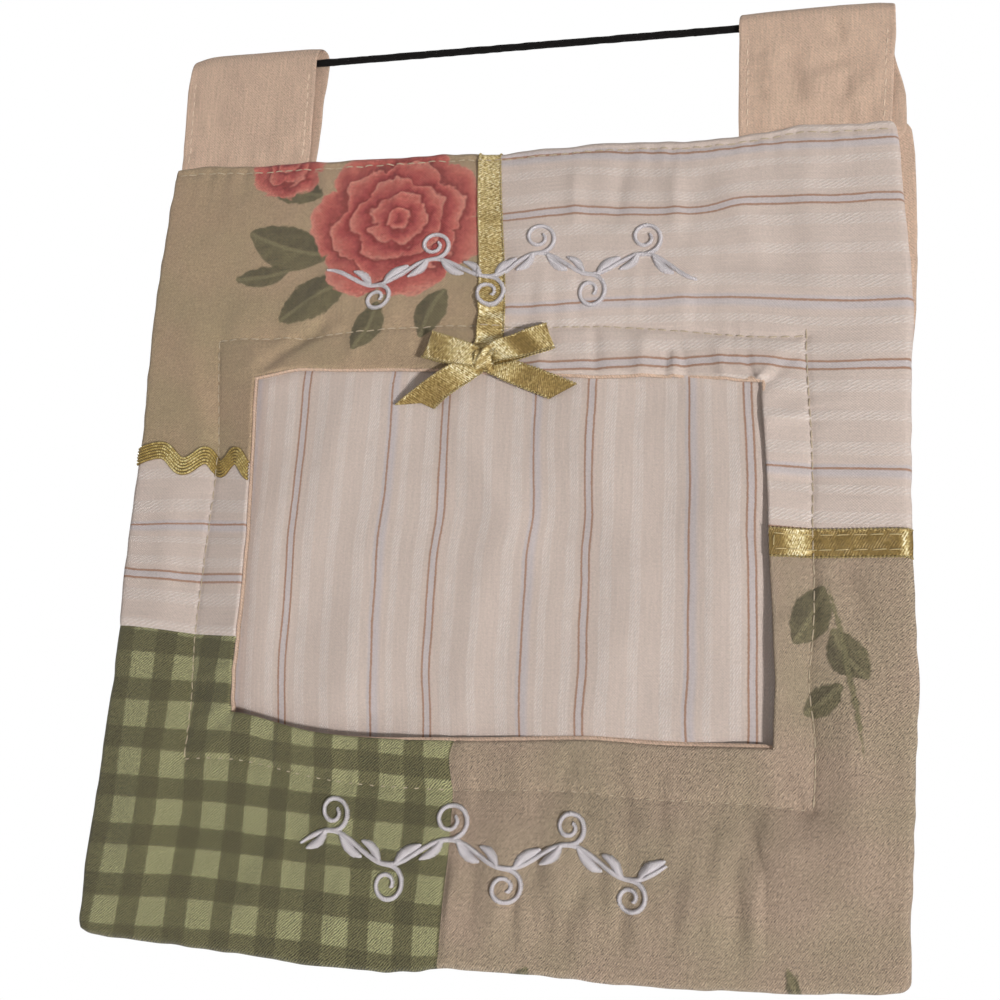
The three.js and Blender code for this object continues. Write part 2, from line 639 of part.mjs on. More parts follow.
function addBow() {
  const z = PANEL_TOP - BOW_DROP;
  const bow = new THREE.Group();
  bow.position.set(BOW_X, frontFace(BOW_X, WINDOW_TOP) - LAYER_GAP - TRIM_THICKNESS - TRIM_GAP, z);
  holder.add(bow);
  const knot = new THREE.SphereGeometry(1, 14, 8).scale(KNOT_WIDTH / 2, KNOT_DEPTH / 2, KNOT_HEIGHT / 2);
  const knotPiece = addPiece("bow_knot", knot, GOLD_SATIN, bow);
  knotPiece.position.y = -(TRIM_THICKNESS + BOW_GAP + KNOT_DEPTH / 2);
  addLoop("bow_loop_left", bow, -1, LOOP_TILT_LEFT);
  addLoop("bow_loop_right", bow, 1, LOOP_TILT_RIGHT);
  addTail("bow_tail_left", bow, -1, TAIL_LENGTH_LEFT, TAIL_DROP_LEFT, {
    low: TAIL_LENGTH_LEFT - TAIL_NOTCH / 2,
    notch: TAIL_LENGTH_LEFT - TAIL_NOTCH,
    high: TAIL_LENGTH_LEFT + TAIL_NOTCH / 2,
  });
  addTail("bow_tail_right", bow, 1, TAIL_LENGTH_RIGHT, TAIL_DROP_RIGHT, {
    low: TAIL_LENGTH_RIGHT - TAIL_NOTCH,
    high: TAIL_LENGTH_RIGHT + TAIL_NOTCH,
  });
}
addBow();

// Embroidered sprigs: a waving stem with leaves, joined into one raised piece
function addVine(name, middleX, drop) {
  const lift = (x, z) => TRIM_GAP + (overTrim(x, z) ? TRIM_THICKNESS : 0);
  const stemAt = (s) =>
    place(middleX + s, PANEL_TOP - drop + VINE_SWING * Math.sin((2 * Math.PI * s) / VINE_WAVE));
  const stem = [];
  for (let s = -VINE_LENGTH / 2; s <= VINE_LENGTH / 2; s += VINE_STEP) stem.push(stemAt(s));
  let vine = toSolid(band(stem, () => VINE_WIDTH / 2, VINE_HEIGHT, lift));
  const leafHalf = (share) => 0.2 + (LEAF_WIDTH / 2) * Math.sin(Math.PI * Math.min(0.96, share + 0.06));
  for (let s = -VINE_LENGTH / 2 + VINE_WAVE / 4; s < VINE_LENGTH / 2; s += VINE_WAVE / 2) {
    const root = stemAt(s);
    const upper = Math.sin((2 * Math.PI * s) / VINE_WAVE) > 0 ? 1 : -1;
    for (const side of [-1, 1]) {
      const turn = THREE.MathUtils.degToRad(90 - side * LEAF_TURN) * upper;
      const heading = new THREE.Vector2(Math.cos(turn), Math.sin(turn));
      const points = [];
      for (let k = 0; k <= LEAF_STEPS; k++) {
        points.push(root.clone().addScaledVector(heading, (LEAF_LENGTH * k) / LEAF_STEPS));
      }
      vine = vine.add(toSolid(band(points, leafHalf, VINE_HEIGHT, lift)));
    }
  }
  addPiece(name, toGeometry(vine), WHITE_THREAD);
}
addVine("embroidery_upper", VINE_UPPER_X, VINE_UPPER_DROP);
addVine("embroidery_lower", VINE_LOWER_X, VINE_LOWER_DROP);

export default holder;
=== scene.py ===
import math
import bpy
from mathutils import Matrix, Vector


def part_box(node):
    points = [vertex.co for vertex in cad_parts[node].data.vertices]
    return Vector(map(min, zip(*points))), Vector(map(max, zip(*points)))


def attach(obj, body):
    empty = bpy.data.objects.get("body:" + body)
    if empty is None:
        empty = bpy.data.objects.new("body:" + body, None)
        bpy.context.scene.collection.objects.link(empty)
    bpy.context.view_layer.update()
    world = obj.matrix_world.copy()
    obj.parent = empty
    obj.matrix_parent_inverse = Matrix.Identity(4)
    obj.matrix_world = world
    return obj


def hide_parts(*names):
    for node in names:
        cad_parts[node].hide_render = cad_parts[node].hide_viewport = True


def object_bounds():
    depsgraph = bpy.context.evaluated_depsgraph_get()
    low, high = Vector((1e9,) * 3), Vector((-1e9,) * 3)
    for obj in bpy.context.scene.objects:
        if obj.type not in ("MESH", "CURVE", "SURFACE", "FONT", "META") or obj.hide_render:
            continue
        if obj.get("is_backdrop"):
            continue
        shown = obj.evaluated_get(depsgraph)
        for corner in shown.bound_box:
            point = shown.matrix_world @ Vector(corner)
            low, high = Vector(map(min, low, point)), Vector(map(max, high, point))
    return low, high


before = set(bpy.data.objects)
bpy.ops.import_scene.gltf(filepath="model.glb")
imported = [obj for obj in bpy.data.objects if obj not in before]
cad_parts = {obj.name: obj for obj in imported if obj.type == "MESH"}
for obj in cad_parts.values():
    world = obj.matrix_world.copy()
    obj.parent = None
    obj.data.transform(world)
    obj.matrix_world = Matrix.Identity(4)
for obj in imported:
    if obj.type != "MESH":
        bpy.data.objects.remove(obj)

from types import SimpleNamespace

import bpy
import numpy as np
from mathutils import Euler, Vector

CAD_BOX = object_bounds()
MM = 0.001
TURN = 2 * math.pi

# Sizes of the holder in millimetres, as in the CAD source
PANEL_W, PANEL_H = 205.0, 215.0
PANEL = (0, PANEL_W, 0, PANEL_H)
ROD_DROP = 33.0
WIN_L, WIN_R, WIN_T, WIN_B = WINDOW = (33.0, 172.0, 66.5, 161.5)
STITCH_MARGIN = 11.5
ST_L, ST_R = WIN_L - STITCH_MARGIN, WIN_R + STITCH_MARGIN
ST_T, ST_B = WIN_T - STITCH_MARGIN, WIN_B + STITCH_MARGIN
STITCHED = (ST_L, ST_R, ST_T, ST_B)
SEAM_U = 96.5
BRAID_V, GINGHAM_V, RIBBON_V = 89.5, 136.5, 112.5
TOP_ROW = 2.9
FRONT, REAR = 1.4, 1.4
RIBBON_W = 7.0
TAB_W = 40.0

# How the hand-sewn panel lies out of square: place on the flat panel and the shift there
NUDGES = [
    (0, 0, 0, -1.4), (205, 0, 0, -1.6), (205, 215, 0, 0), (0, 215, -1.9, 0.5),
    (0, 20, -1.3, -0.6), (0, 41, -1.7, 0), (0, 70, -1.2, -0.6), (0, 89.5, -0.8, -1.8),
    (0, 112, -1.2, -0.8), (0, 136.5, -0.7, -1.3), (0, 174, -1.1, 0),
    (205, 49, 3.5, 0), (205, 112.5, 2.2, -0.4), (205, 146, 3, 0), (205, 180, 1.5, 0),
    (43, 0, 0, -0.3), (92, 0, 0, -0.2), (124, 0, 0, -0.5), (154, 0, 0, 0),
    (167, 0, 0, -0.9), (180, 0, 0, -2.2), (192, 0, 0, -2.0),
    (39, 215, 0, 2.4), (89, 215, 0, 3.9), (132, 215, 0, 2.9), (170, 215, 0, 2.7),
    (33, 66.5, 0, -0.7), (45, 66.5, 0, -3.2), (74, 66.5, 0, -2.8), (100, 66.5, 2.0, -0.9),
    (129, 66.5, 0, 0.7), (155, 66.5, 0, 1.6), (172, 66.5, -1.5, 3.5), (172, 103, 0.7, 0),
    (172, 117, 1.2, 0), (172, 129, 2.0, 0.2), (172, 146, 2.9, 0.6), (172, 161.5, 2.4, 1.1),
    (153.6, 161.5, 0, 0.9), (132.6, 161.5, 0, 0.2), (97.6, 161.5, 0, 1.6), (58, 161.5, 0, 0.6),
    (33, 161.5, 3.2, -3.7), (33, 75, 0.4, 0.2), (33, 90, 1.4, 1.5), (33, 110, 2.2, 1.3),
    (33, 128, 2.6, 1.3), (33, 136.5, 2.6, 1.8),
    (21.5, 55, -1.2, -0.9), (48, 55, 0, -1.2), (83.5, 55, 1.5, -3.1), (128.7, 55, 0, -1.4),
    (183.5, 55, -1.6, 3), (183.5, 108.7, 0, 0), (183.5, 126, 0.4, 0), (183.5, 146, -0.9, 1),
    (183.5, 173, 0.2, 3.3), (146, 173, 0, 2.4), (96.6, 173, 0, 2.2), (21.5, 173, 1.9, -2.7),
    (21.5, 87, 2.3, 0), (21.5, 137, 1.2, 0.9),
    (96.5, 1, -0.9, 0.2), (96.5, 53, 2.8, -2.6), (96.5, 165, -1.4, 1.6), (96.5, 212, -1, 2.5),
]
# Rounded corners of the panel: place and radius
CORNERS = ((0, 0, 2.0), (PANEL_W, 0, 2.6), (PANEL_W, PANEL_H, 2.4), (0, PANEL_H, 4.4))
# How freely the field may pass by the places in a table
SLACK = 4.0


# A smooth field through rows of a place on the flat panel and the values there
def thin_plate(rows):
    rows = np.array(rows, float)
    points, values = rows[:, :2], rows[:, 2:]
    n = len(rows)

    def bent(d2):
        return 0.5 * d2 * np.log(np.maximum(d2, 1e-9))

    kernel = bent(((points[:, None] - points[None]) ** 2).sum(-1)) + np.eye(n) * SLACK
    plane = np.c_[np.ones(n), points]
    whole = np.block([[kernel, plane], [plane.T, np.zeros((3, 3))]])
    weights = np.linalg.solve(whole, np.r_[values, np.zeros((3, values.shape[1]))])

    def at(u, v):
        p = np.c_[np.ravel(u), np.ravel(v)]
        out = np.c_[np.ones(len(p)), p] @ weights[n:]
        for point, weight in zip(points, weights):
            out += bent(((p - point) ** 2).sum(1))[:, None] * weight
        return out.reshape(np.shape(u) + values.shape[1:])

    return at


def ease(t):
    return t * t * (3 - 2 * t)


# Soft step from 0 at a to 1 at b
def smooth(x, a, b):
    return ease(np.clip((np.asarray(x, float) - a) / (b - a), 0, 1))


def bump(d, w):
    return np.exp(-(np.asarray(d) / w) ** 2)


# 1 between low and high, easing off past them
def between(x, low, high):
    return smooth(x, low - 3, low + 1) * (1 - smooth(x, high - 1, high + 3))


# Quarter round: 0 at an edge, 1 from the radius on
def rounded(gap, radius):
    return np.sqrt(np.clip(1 - (1 - np.clip(gap / radius, 0, 1)) ** 2, 0, 1))


# Smooth noise on a lattice, between -1 and 1
def noise(u, v, step, seed, cells=64):
    table = np.random.default_rng(seed).uniform(-1, 1, (cells, cells))
    a, b = np.asarray(u, float) / step, np.asarray(v, float) / step
    i, j = np.floor(a).astype(int), np.floor(b).astype(int)
    fa, fb = ease(a - i), ease(b - j)

    def level(dj):
        left, right = (table[(i + di) % cells, (j + dj) % cells] for di in (0, 1))
        return left * (1 - fa) + right * fa

    return level(0) * (1 - fb) + level(1) * fb


# Waves added up: rows of height, length and seed
def waves(u, v, *rows):
    return sum(high * noise(u, v, step, seed) for high, step, seed in rows)


# Signed gap to a rectangle, below zero inside it
def box_gap(u, v, left, right, top, bottom):
    du = np.maximum(left - u, u - right)
    dv = np.maximum(top - v, v - bottom)
    outside = np.hypot(np.maximum(du, 0), np.maximum(dv, 0))
    return outside + np.minimum(np.maximum(du, dv), 0)


# Soft ridge along a line from (u0, v0) to (u1, v1)
def ridge(u, v, u0, v0, u1, v1, width):
    du, dv = u1 - u0, v1 - v0
    length = math.hypot(du, dv)
    t = ((u - u0) * du + (v - v0) * dv) / length
    across = ((v - v0) * du - (u - u0) * dv) / length
    start = smooth(t, -0.25 * length, 0.25 * length)
    return bump(across, width) * start * (1 - smooth(t, 0.75 * length, 1.25 * length))


# Folds added up: rows of from, to, half width and height
def folded(u, v, folds, tight=1.0):
    return sum(high * ridge(u, v, *line, tight * width) for *line, width, high in folds)


def grid(us, vs):
    return np.meshgrid(us, vs, indexing="ij")


def middles(x):
    return (x[1:] + x[:-1]) / 2


def unit(vectors):
    return vectors / np.maximum(np.linalg.norm(vectors, axis=-1, keepdims=True), 1e-12)


def tangents(line):
    return unit(np.gradient(line, axis=0))


# Distance run along a line of points, and the point at a run
def run_along(line):
    return np.r_[0, np.cumsum(np.linalg.norm(np.diff(line, axis=0), axis=1))]


def along(s, run, points):
    return np.stack([np.interp(s, run, column) for column in points.T], -1)


out_of_square = thin_plate(NUDGES)


# Shift of a place on the flat panel: out of square, rounded corners, uneven edges
def shift_at(u, v):
    u, v = np.broadcast_arrays(np.asarray(u, float), np.asarray(v, float))
    out = out_of_square(u, v)
    for cu, cv, radius in CORNERS:
        su, sv = (1 if cu else -1), (1 if cv else -1)
        a = np.clip((u - (cu - su * radius)) * su / radius, 0, 1)
        b = np.clip((v - (cv - sv * radius)) * sv / radius, 0, 1)
        both = (a > 0) & (b > 0)
        out[..., 0] += np.where(both, su * radius * a * (np.sqrt(1 - b * b / 2) - 1), 0)
        out[..., 1] += np.where(both, sv * radius * b * (np.sqrt(1 - a * a / 2) - 1), 0)
    rim = np.exp(-np.maximum(-box_gap(u, v, *PANEL), 0) / 5.0)
    out[..., 0] += rim * waves(u, v, (0.3, 10.0, 3), (0.22, 4.3, 4))
    out[..., 1] += rim * waves(u, v, (0.36, 10.0, 5), (0.22, 4.3, 6))
    out[..., 1] += 0.4 * np.exp(-np.maximum(v, 0) / 3.0) * noise(u, 0 * v, 5.3, 7)
    return out


# Folds of the front: from, to, half width, height
FRONT_FOLDS = [
    (33, 66, 52, 50, 2.6, -0.9), (26, 50, 36, 66, 3.2, 0.7), (14, 60, 18, 86, 3, 0.4),
    (60, 64, 62, 55, 2.0, 0.45), (78, 65, 79, 54, 2.0, -0.5), (112, 66, 110, 55, 2.2, 0.5),
    (128, 66, 127, 55, 1.8, -0.45), (140, 68, 141, 56, 2.2, 0.55), (152, 69, 150, 57, 1.7, -0.5),
    (163, 70, 160, 57, 2.0, 0.5), (170, 70, 180, 60, 2.0, -0.6),
    (173, 78, 183, 76, 2.2, 0.4), (173, 95, 183, 97, 2.0, -0.35), (174, 132, 183, 130, 2.5, 0.4),
    (174, 150, 184, 154, 2.4, -0.5), (173, 163, 182, 174, 2.2, -0.6),
    (140, 164, 142, 175, 2.0, 0.5), (126, 164, 124, 174, 1.8, -0.4), (112, 164, 113, 175, 2.2, 0.5),
    (84, 163, 83, 175, 2.0, 0.45), (68, 163, 70, 174, 1.8, -0.4), (50, 162, 48, 172, 2.0, 0.5),
    (36, 159, 24, 170, 2.0, -0.7), (22, 150, 34, 147, 2.4, 0.4), (22, 108, 33, 110, 2.6, -0.3),
    (190, 118, 196, 132, 2.4, -0.7), (199, 117, 203, 128, 2.0, 0.6), (186, 120, 188, 138, 2.6, 0.5),
    (110, 196, 108, 212, 2.6, 0.55), (121, 195, 123, 214, 2.4, -0.5),
    (132, 196, 131, 212, 2.6, 0.6), (146, 194, 149, 211, 2.4, -0.45),
    (157, 190, 162, 206, 3.0, 0.5), (172, 186, 188, 198, 4.0, 0.6),
    (70, 196, 68, 212, 2.6, 0.5), (84, 198, 86, 213, 2.4, -0.4), (52, 190, 44, 206, 3.5, 0.5),
    (120, 8, 121, 26, 2.6, 0.5), (133, 6, 132, 24, 2.4, -0.45), (147, 8, 149, 28, 2.8, 0.6),
    (160, 14, 172, 34, 4.0, 0.7), (180, 10, 186, 40, 5.0, 0.5), (166, 40, 190, 46, 4.0, 0.5),
    (42, 1, 43, 12, 1.6, -0.7), (47, 2, 49, 14, 2.0, 0.5), (70, 4, 69, 20, 2.4, 0.4),
    (20, 12, 40, 30, 5.0, 0.5), (10, 30, 26, 44, 5.0, -0.4), (52, 36, 44, 52, 3.0, 0.5),
    (10, 96, 12, 130, 4.5, 0.4), (8, 160, 14, 200, 6.0, 0.5), (192, 150, 196, 195, 6.0, 0.5),
    (176, 63, 168, 69, 1.3, 0.7), (168, 60, 171, 68, 1.2, -0.6), (147, 60, 146, 68, 1.2, -0.6),
    (149, 61, 148, 69, 1.4, 0.5), (168, 176, 172, 186, 1.4, -0.5), (172, 176, 180, 184, 1.6, 0.5),
    (100, 180, 101, 192, 1.3, -0.4), (116, 198, 117, 211, 1.4, 0.5),
    (126, 197, 127, 214, 1.3, -0.55), (129, 200, 128, 212, 1.3, 0.45),
    (138, 199, 140, 209, 1.5, -0.4), (197, 114, 204, 126, 1.4, -0.6), (206, 62, 206, 104, 8.0, 0.9),
]
FOLD_RISE, FOLD_TIGHT = 1.6, 0.9

# Upright creases drawn up by the embroidery: level, reach, left, right, height, seed
EMBROIDERY_PULL = [
    (42, 13, 52, 160, 0.42, 31), (194, 14, 98, 172, 1.0, 33),
    (178, 9, 100, 168, 0.55, 35), (186, 12, 52, 98, 0.26, 37),
]
# Where cloth is held down at the panel's edge and where it lies loose, in from it
LOOSE = (1, 14)
# Heights of the front: at rest, of the pillow round the window, and dents at stitches and seams
REST, PILLOW, ROW_DENT, TOP_DENT, SEAM_DENT = 0.25, 0.55, 0.34, 0.25, 0.4
# How deep the cloth turns under at the panel's edge and at the window's, and the radius of each
OUTER_TURN, OUTER_ROUND = FRONT + 0.8, 1.9
INNER_TURN, INNER_ROUND = 0.75, 0.9


# Uneven drawn-up ripples beside a row of stitches: s runs along it, d is the gap to it
def pucker(s, d, seed, reach=4.5):
    phase = 2.2 * noise(s, s * 0 + 3.1, 9.0, seed)
    size = 0.5 + 0.6 * noise(s, s * 0 + 7.7, 11.0, seed + 1)
    return 0.3 * size * np.exp(-np.abs(d) / reach) * np.sin(TURN * s / 6.4 + 3 * phase)


# How far the window's edge stands off the backing: most at the left, the right and lower left
def window_stand(u, v):
    left, right = 1 - smooth(u, 34, 60), smooth(u, 150, 172)
    corner = bump(np.hypot(u - 60, v - WIN_B), 27)
    return 0.3 + 2.6 * left + right * (1.5 + 1.6 * smooth(v, 90, 150)) + 3.0 * corner


# A seam's dent, and beside it the swell of the cloth folded under
def seam(gap, beside, high, dented, swollen):
    return high * bump(gap - beside, 1.7) * swollen - SEAM_DENT * bump(gap, 1.0) * dented


# Height of the front cloth above the flat, towards the viewer, at a place on the flat panel
def front_height(u, v):
    u, v = np.asarray(u, float), np.asarray(v, float)
    edge, to_stitch = -box_gap(u, v, *PANEL), box_gap(u, v, *STITCHED)
    inner = np.clip(-to_stitch / STITCH_MARGIN, 0, 1.2)
    pillow = smooth(edge, 0, 16) * smooth(to_stitch, 0, 9)
    loose = smooth(edge, *LOOSE)
    h = window_stand(u, v) * inner ** 1.15 * (1 - 0.12 * bump(inner - 1, 0.3))
    h = h + PILLOW * pillow + REST
    h = h + loose * pillow * (0.7 * noise(u, v, 37, 11) + 0.38 * noise(u + 9, v, 17, 12))
    h = h + loose * waves(u, v, (0.16, 8.5, 13), (0.06, 4.1, 14))
    h = h + FOLD_RISE * loose * folded(u, v, FRONT_FOLDS, FOLD_TIGHT)
    on_u, on_v = between(u, ST_L, ST_R), between(v, ST_T, ST_B)
    for row, gap, run, seed in (
        (on_u, v - ST_T, u, 21), (on_u, v - ST_B, u, 23),
        (on_v, u - ST_L, v, 25), (on_v, u - ST_R, v, 27),
    ):
        h = h + row * (pucker(run, gap, seed) - ROW_DENT * bump(gap, 0.9))
    top = v - TOP_ROW
    h = h + smooth(edge, 0, 2.5) * pucker(u, top, 29, 7.0) * 1.5 - TOP_DENT * bump(top, 0.9)
    left, low = u < WIN_L + 2, v > WIN_B - 2
    h = h + seam(v - GINGHAM_V, -2.6, 0.22, left, left)
    h = h + seam(u - SEAM_U, 2.6, 0.2, low * smooth(edge, 0, 2), low * smooth(edge, 0, 3))
    for level, reach, start, stop, rise, seed in EMBROIDERY_PULL:
        streak = noise(u, v * 0.15, 3.7, seed) + 0.45 * noise(u, v * 0.2, 2.0, seed + 1)
        h = h + rise * bump(v - level, reach) * between(u, start, stop) * loose * streak
    h = (h + OUTER_TURN) * rounded(edge, OUTER_ROUND) - OUTER_TURN
    return h - INNER_TURN * (1 - rounded(box_gap(u, v, *WINDOW), INNER_ROUND))


# A place on the front cloth, in metres, lifted off it by lift millimetres
def on_front(u, v, lift=0.0, height=None):
    u, v = np.broadcast_arrays(np.asarray(u, float), np.asarray(v, float))
    shift = shift_at(u, v)
    h = front_height(u, v) if height is None else height
    x = u + shift[..., 0] - PANEL_W / 2
    z = -ROD_DROP - v - shift[..., 1]
    return np.stack([x, -(FRONT + h + lift), z], -1) * MM


# A step towards the wall
def inwards(depth):
    return np.stack([0 * depth, depth, 0 * depth], -1) * MM


# Many short lines of (u, v, lift) laid on a face of the panel together
def lay(lines, face):
    u, v, lift = (np.concatenate(part) for part in zip(*lines))
    return np.split(face(u, v, lift), np.cumsum([len(line[0]) for line in lines])[:-1])


# One visible piece from a mesh of points, faces and places on the flat
def add_object(name, mesh, material, node=None, body="panel", painted_shine=None):
    verts, faces, flat = mesh
    data = bpy.data.meshes.new(name)
    data.from_pydata(verts.tolist(), [], faces)
    data.validate()
    corners = np.zeros(len(data.loops), dtype=np.int32)
    data.loops.foreach_get("vertex_index", corners)
    layer = data.uv_layers.new(name="flat")
    layer.data.foreach_set("uv", flat[corners].astype(np.float32).ravel())
    # Painted shine: a per-point share of painted highlight, read by the satin and braid colours
    if painted_shine is not None:
        layer = data.attributes.new("painted_shine", "FLOAT", "POINT")
        layer.data.foreach_set("value", painted_shine.astype(np.float32))
    data.polygons.foreach_set("use_smooth", [True] * len(data.polygons))
    data.materials.append(MATERIALS[material])
    data.update()
    ob = bpy.data.objects.new(name, data)
    bpy.context.scene.collection.objects.link(ob)
    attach(ob, body)
    if node:
        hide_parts(node)
    return ob


# Lines from stop to stop, at most step apart, and closer beside the stops
def fine_lines(stops, step, beside=(0.15, 0.4, 0.8, 1.3), closest=0.09):
    lines = set()
    stops = sorted(stops)
    for a, b in zip(stops, stops[1:]):
        n = max(1, math.ceil((b - a) / step))
        lines.update(round(a + (b - a) * k / n, 4) for k in range(n + 1))
    near = (p for s in stops for d in beside for p in (s - d, s + d))
    lines.update(round(p, 4) for p in near if stops[0] <= p <= stops[-1])
    out = []
    for p in sorted(lines):
        if out and p - out[-1] <= closest:
            if p not in stops:
                continue
            if out[-1] not in stops:
                out.pop()
        out.append(p)
    return np.array(out)


# Closed cloth from a grid of cells: front and back points, joined round the rim
def closed_cloth(us, vs, front, back, keep=None):
    nu, nv = len(us), len(vs)
    if keep is None:
        keep = np.ones((nu - 1, nv - 1), bool)
    used = np.zeros((nu, nv), bool)
    for i in (0, 1):
        for j in (0, 1):
            used[i:nu - 1 + i, j:nv - 1 + j] |= keep
    n = int(used.sum())
    ids = -np.ones((nu, nv), int)
    ids[used] = np.arange(n)
    uu, vv = grid(us, vs)
    flat = np.c_[uu[used], -vv[used]]
    i, j = np.nonzero(keep)
    a, b, c, d = ids[i, j], ids[i + 1, j], ids[i + 1, j + 1], ids[i, j + 1]
    faces = [np.c_[a, d, c, b], np.c_[a, b, c, d] + n]
    pad = np.pad(keep, 1)
    for di, dj, p, q in ((-1, 0, a, d), (1, 0, c, b), (0, -1, b, a), (0, 1, d, c)):
        rim = ~pad[i + 1 + di, j + 1 + dj]
        faces.append(np.c_[q[rim], p[rim], p[rim] + n, q[rim] + n][:, ::-1])
    verts = np.concatenate([front[used], back[used]])
    return verts, np.concatenate(faces).tolist(), np.concatenate([flat, flat])


# Faces of a closed tube made of rings of points
def ring_faces(rings, sides, first=0):
    k, s = grid(np.arange(rings - 1), np.arange(sides))
    p = (first + k * sides + s).ravel()
    q = (first + k * sides + (s + 1) % sides).ravel()
    start = np.arange(first, first + sides)
    ends = [start[::-1].tolist(), (start + (rings - 1) * sides).tolist()]
    return np.c_[p, q, q + sides, p + sides].tolist() + ends


# Width round a strand on the flat
GIRTH = 2.4


# Tubes along many lines at once, each with a radius at every point
def tubes(lines, radii, sides=6):
    share = np.arange(sides) / sides
    cos, sin = np.cos(TURN * share)[:, None], np.sin(TURN * share)[:, None]
    verts, faces, flat, first = [], [], [], 0
    for line, radius in zip(lines, radii):
        tangent = tangents(line)
        side = unit(np.cross(tangent, (0.0, -1.0, 0.0)))
        up = np.cross(side, tangent)
        ring = cos * side[:, None] + sin * up[:, None]
        verts.append((line[:, None] + radius[:, None, None] * ring).reshape(-1, 3))
        place = np.broadcast_arrays(run_along(line)[:, None] / MM, share * GIRTH)
        flat.append(np.stack(place, -1).reshape(-1, 2))
        faces += ring_faces(len(line), sides, first)
        first += len(line) * sides
    return np.concatenate(verts), faces, np.concatenate(flat)


# A value in a node tree, with sums and products that make nodes
class Value:
    def __init__(self, net, socket):
        self.net, self.socket = net, socket

    def __add__(self, other):
        return self.net.math("ADD", self, other)

    def __sub__(self, other):
        return self.net.math("SUBTRACT", self, other)

    def __rsub__(self, other):
        return self.net.math("SUBTRACT", other, self)

    def __mul__(self, other):
        return self.net.math("MULTIPLY", self, other)

    def scaled(self, factor, offset):
        return self.net.math("MULTIPLY_ADD", self, factor, offset)

    def sine(self):
        return self.net.math("SINE", self)

    def absolute(self):
        return self.net.math("ABSOLUTE", self)

    def clamped(self):
        return self.net.math("MULTIPLY", self, 1.0, clamp=True)

    def step(self, low, high):
        inputs = {0: self, 1: low, 2: high}
        return self.net.node("ShaderNodeMapRange", inputs, interpolation_type="SMOOTHSTEP")

    def other(self, output):
        return Value(self.net, self.socket.node.outputs[output])


# Nodes of a material or of the world
class Net:
    def __init__(self, owner):
        owner.use_nodes = True
        self.owner = owner
        self.nodes, self.links = owner.node_tree.nodes, owner.node_tree.links
        self.uv = None

    def link(self, value, socket):
        if isinstance(value, Value):
            self.links.new(value.socket, socket)
        else:
            socket.default_value = value

    def node(self, kind, inputs=(), output=0, **settings):
        made = self.nodes.new(kind)
        for key, value in settings.items():
            setattr(made, key, value)
        for key, value in dict(inputs).items():
            self.link(value, made.inputs[key])
        return Value(self, made.outputs[output])

    def math(self, operation, *values, clamp=False):
        return self.node("ShaderNodeMath", enumerate(values), operation=operation, use_clamp=clamp)

    # Places on the flat cloth, in millimetres right and up
    def flat(self):
        if self.uv is None:
            self.uv = self.node("ShaderNodeUVMap", uv_map="flat")
            self.place = self.node("ShaderNodeSeparateXYZ", {0: self.uv})
        return self.place, self.place.other(1)

    def mix(self, share, a, b):
        a, b = (colour if isinstance(colour, Value) else (*colour, 1.0) for colour in (a, b))
        return self.node("ShaderNodeMix", {0: share, 6: a, 7: b}, 2, data_type="RGBA")

    def noise(self, scale, detail=2.0, stretch=(1.0, 1.0), rough=0.5, distort=0.0):
        self.flat()
        place = self.node("ShaderNodeMapping", {"Scale": (*stretch, 1.0), "Vector": self.uv})
        return self.node("ShaderNodeTexNoise", {
            "Vector": place, "Scale": scale, "Detail": detail,
            "Roughness": rough, "Distortion": distort,
        })

    def ramp(self, x, stops):
        made = self.node("ShaderNodeValToRGB", {0: x})
        elements = made.socket.node.color_ramp.elements
        while len(elements) < len(stops):
            elements.new(0.5)
        for element, (place, colour) in zip(elements, stops):
            element.position = place
            element.color = (*colour, 1.0)
        return made

    # A surface with a relief of depth millimetres
    def finish(self, colour, height, rough, strength, depth, sheen, **more):
        relief = {"Strength": strength, "Distance": depth * MM, "Height": height}
        sockets = {
            "Base Color": colour, "Roughness": rough, "Sheen Weight": sheen,
            "Sheen Roughness": 0.5, "Normal": self.node("ShaderNodeBump", relief),
        }
        sockets.update((key.replace("_", " "), value) for key, value in more.items())
        for key, value in sockets.items():
            self.link(value, self.nodes["Principled BSDF"].inputs[key])
        return self.owner


def new_material(name):
    return Net(bpy.data.materials.new(name))


def srgb(*levels):
    def linear(c):
        return c / 12.92 if c <= 0.04045 else ((c + 0.055) / 1.055) ** 2.4

    return tuple(linear(level / 255) for level in levels)


# Plain weave: crossing threads at pitch, as a height between 0 and 1
def weave(net, pitch):
    u, v = net.flat()
    k = math.pi / pitch
    return ((u * k).sine() * (v * k).sine()).scaled(0.5, 0.5)


# Slanting twill ribs, broken up unevenly, about zero
def twill(net, pitch, lean, broken=0.85):
    u, v = net.flat()
    wander = net.noise(0.9) * 0.9
    rib = ((u + v * lean + wander) * (TURN / pitch)).sine()
    return rib * net.noise(1.0).step(0.36, 0.64).scaled(broken, 1.0 - broken)


# Uneven dyeing, slubs across and down, and ribs, as a factor on the colour; also the grain
def mottled(net, colour, fine, broad, slub, rib=None, thread=0.1):
    grain = net.noise(1.6, 4.0, rough=0.8) - 0.5
    cloud = net.noise(0.06, 3.0) - 0.5
    across = net.noise(1.9, stretch=(thread, 1.0)) - 0.5
    down = net.noise(1.9, stretch=(1.0, thread)) - 0.5
    total = grain * (2 * fine) + cloud * (2 * broad) + (across * slub[0] + down * slub[1])
    if rib is not None:
        total = total + rib
    tinted = {0: colour, "Scale": total + 1.0}
    return net.node("ShaderNodeVectorMath", tinted, operation="SCALE"), grain


# Cloudiness of the dye in printed and plain cotton
DYE = 0.06


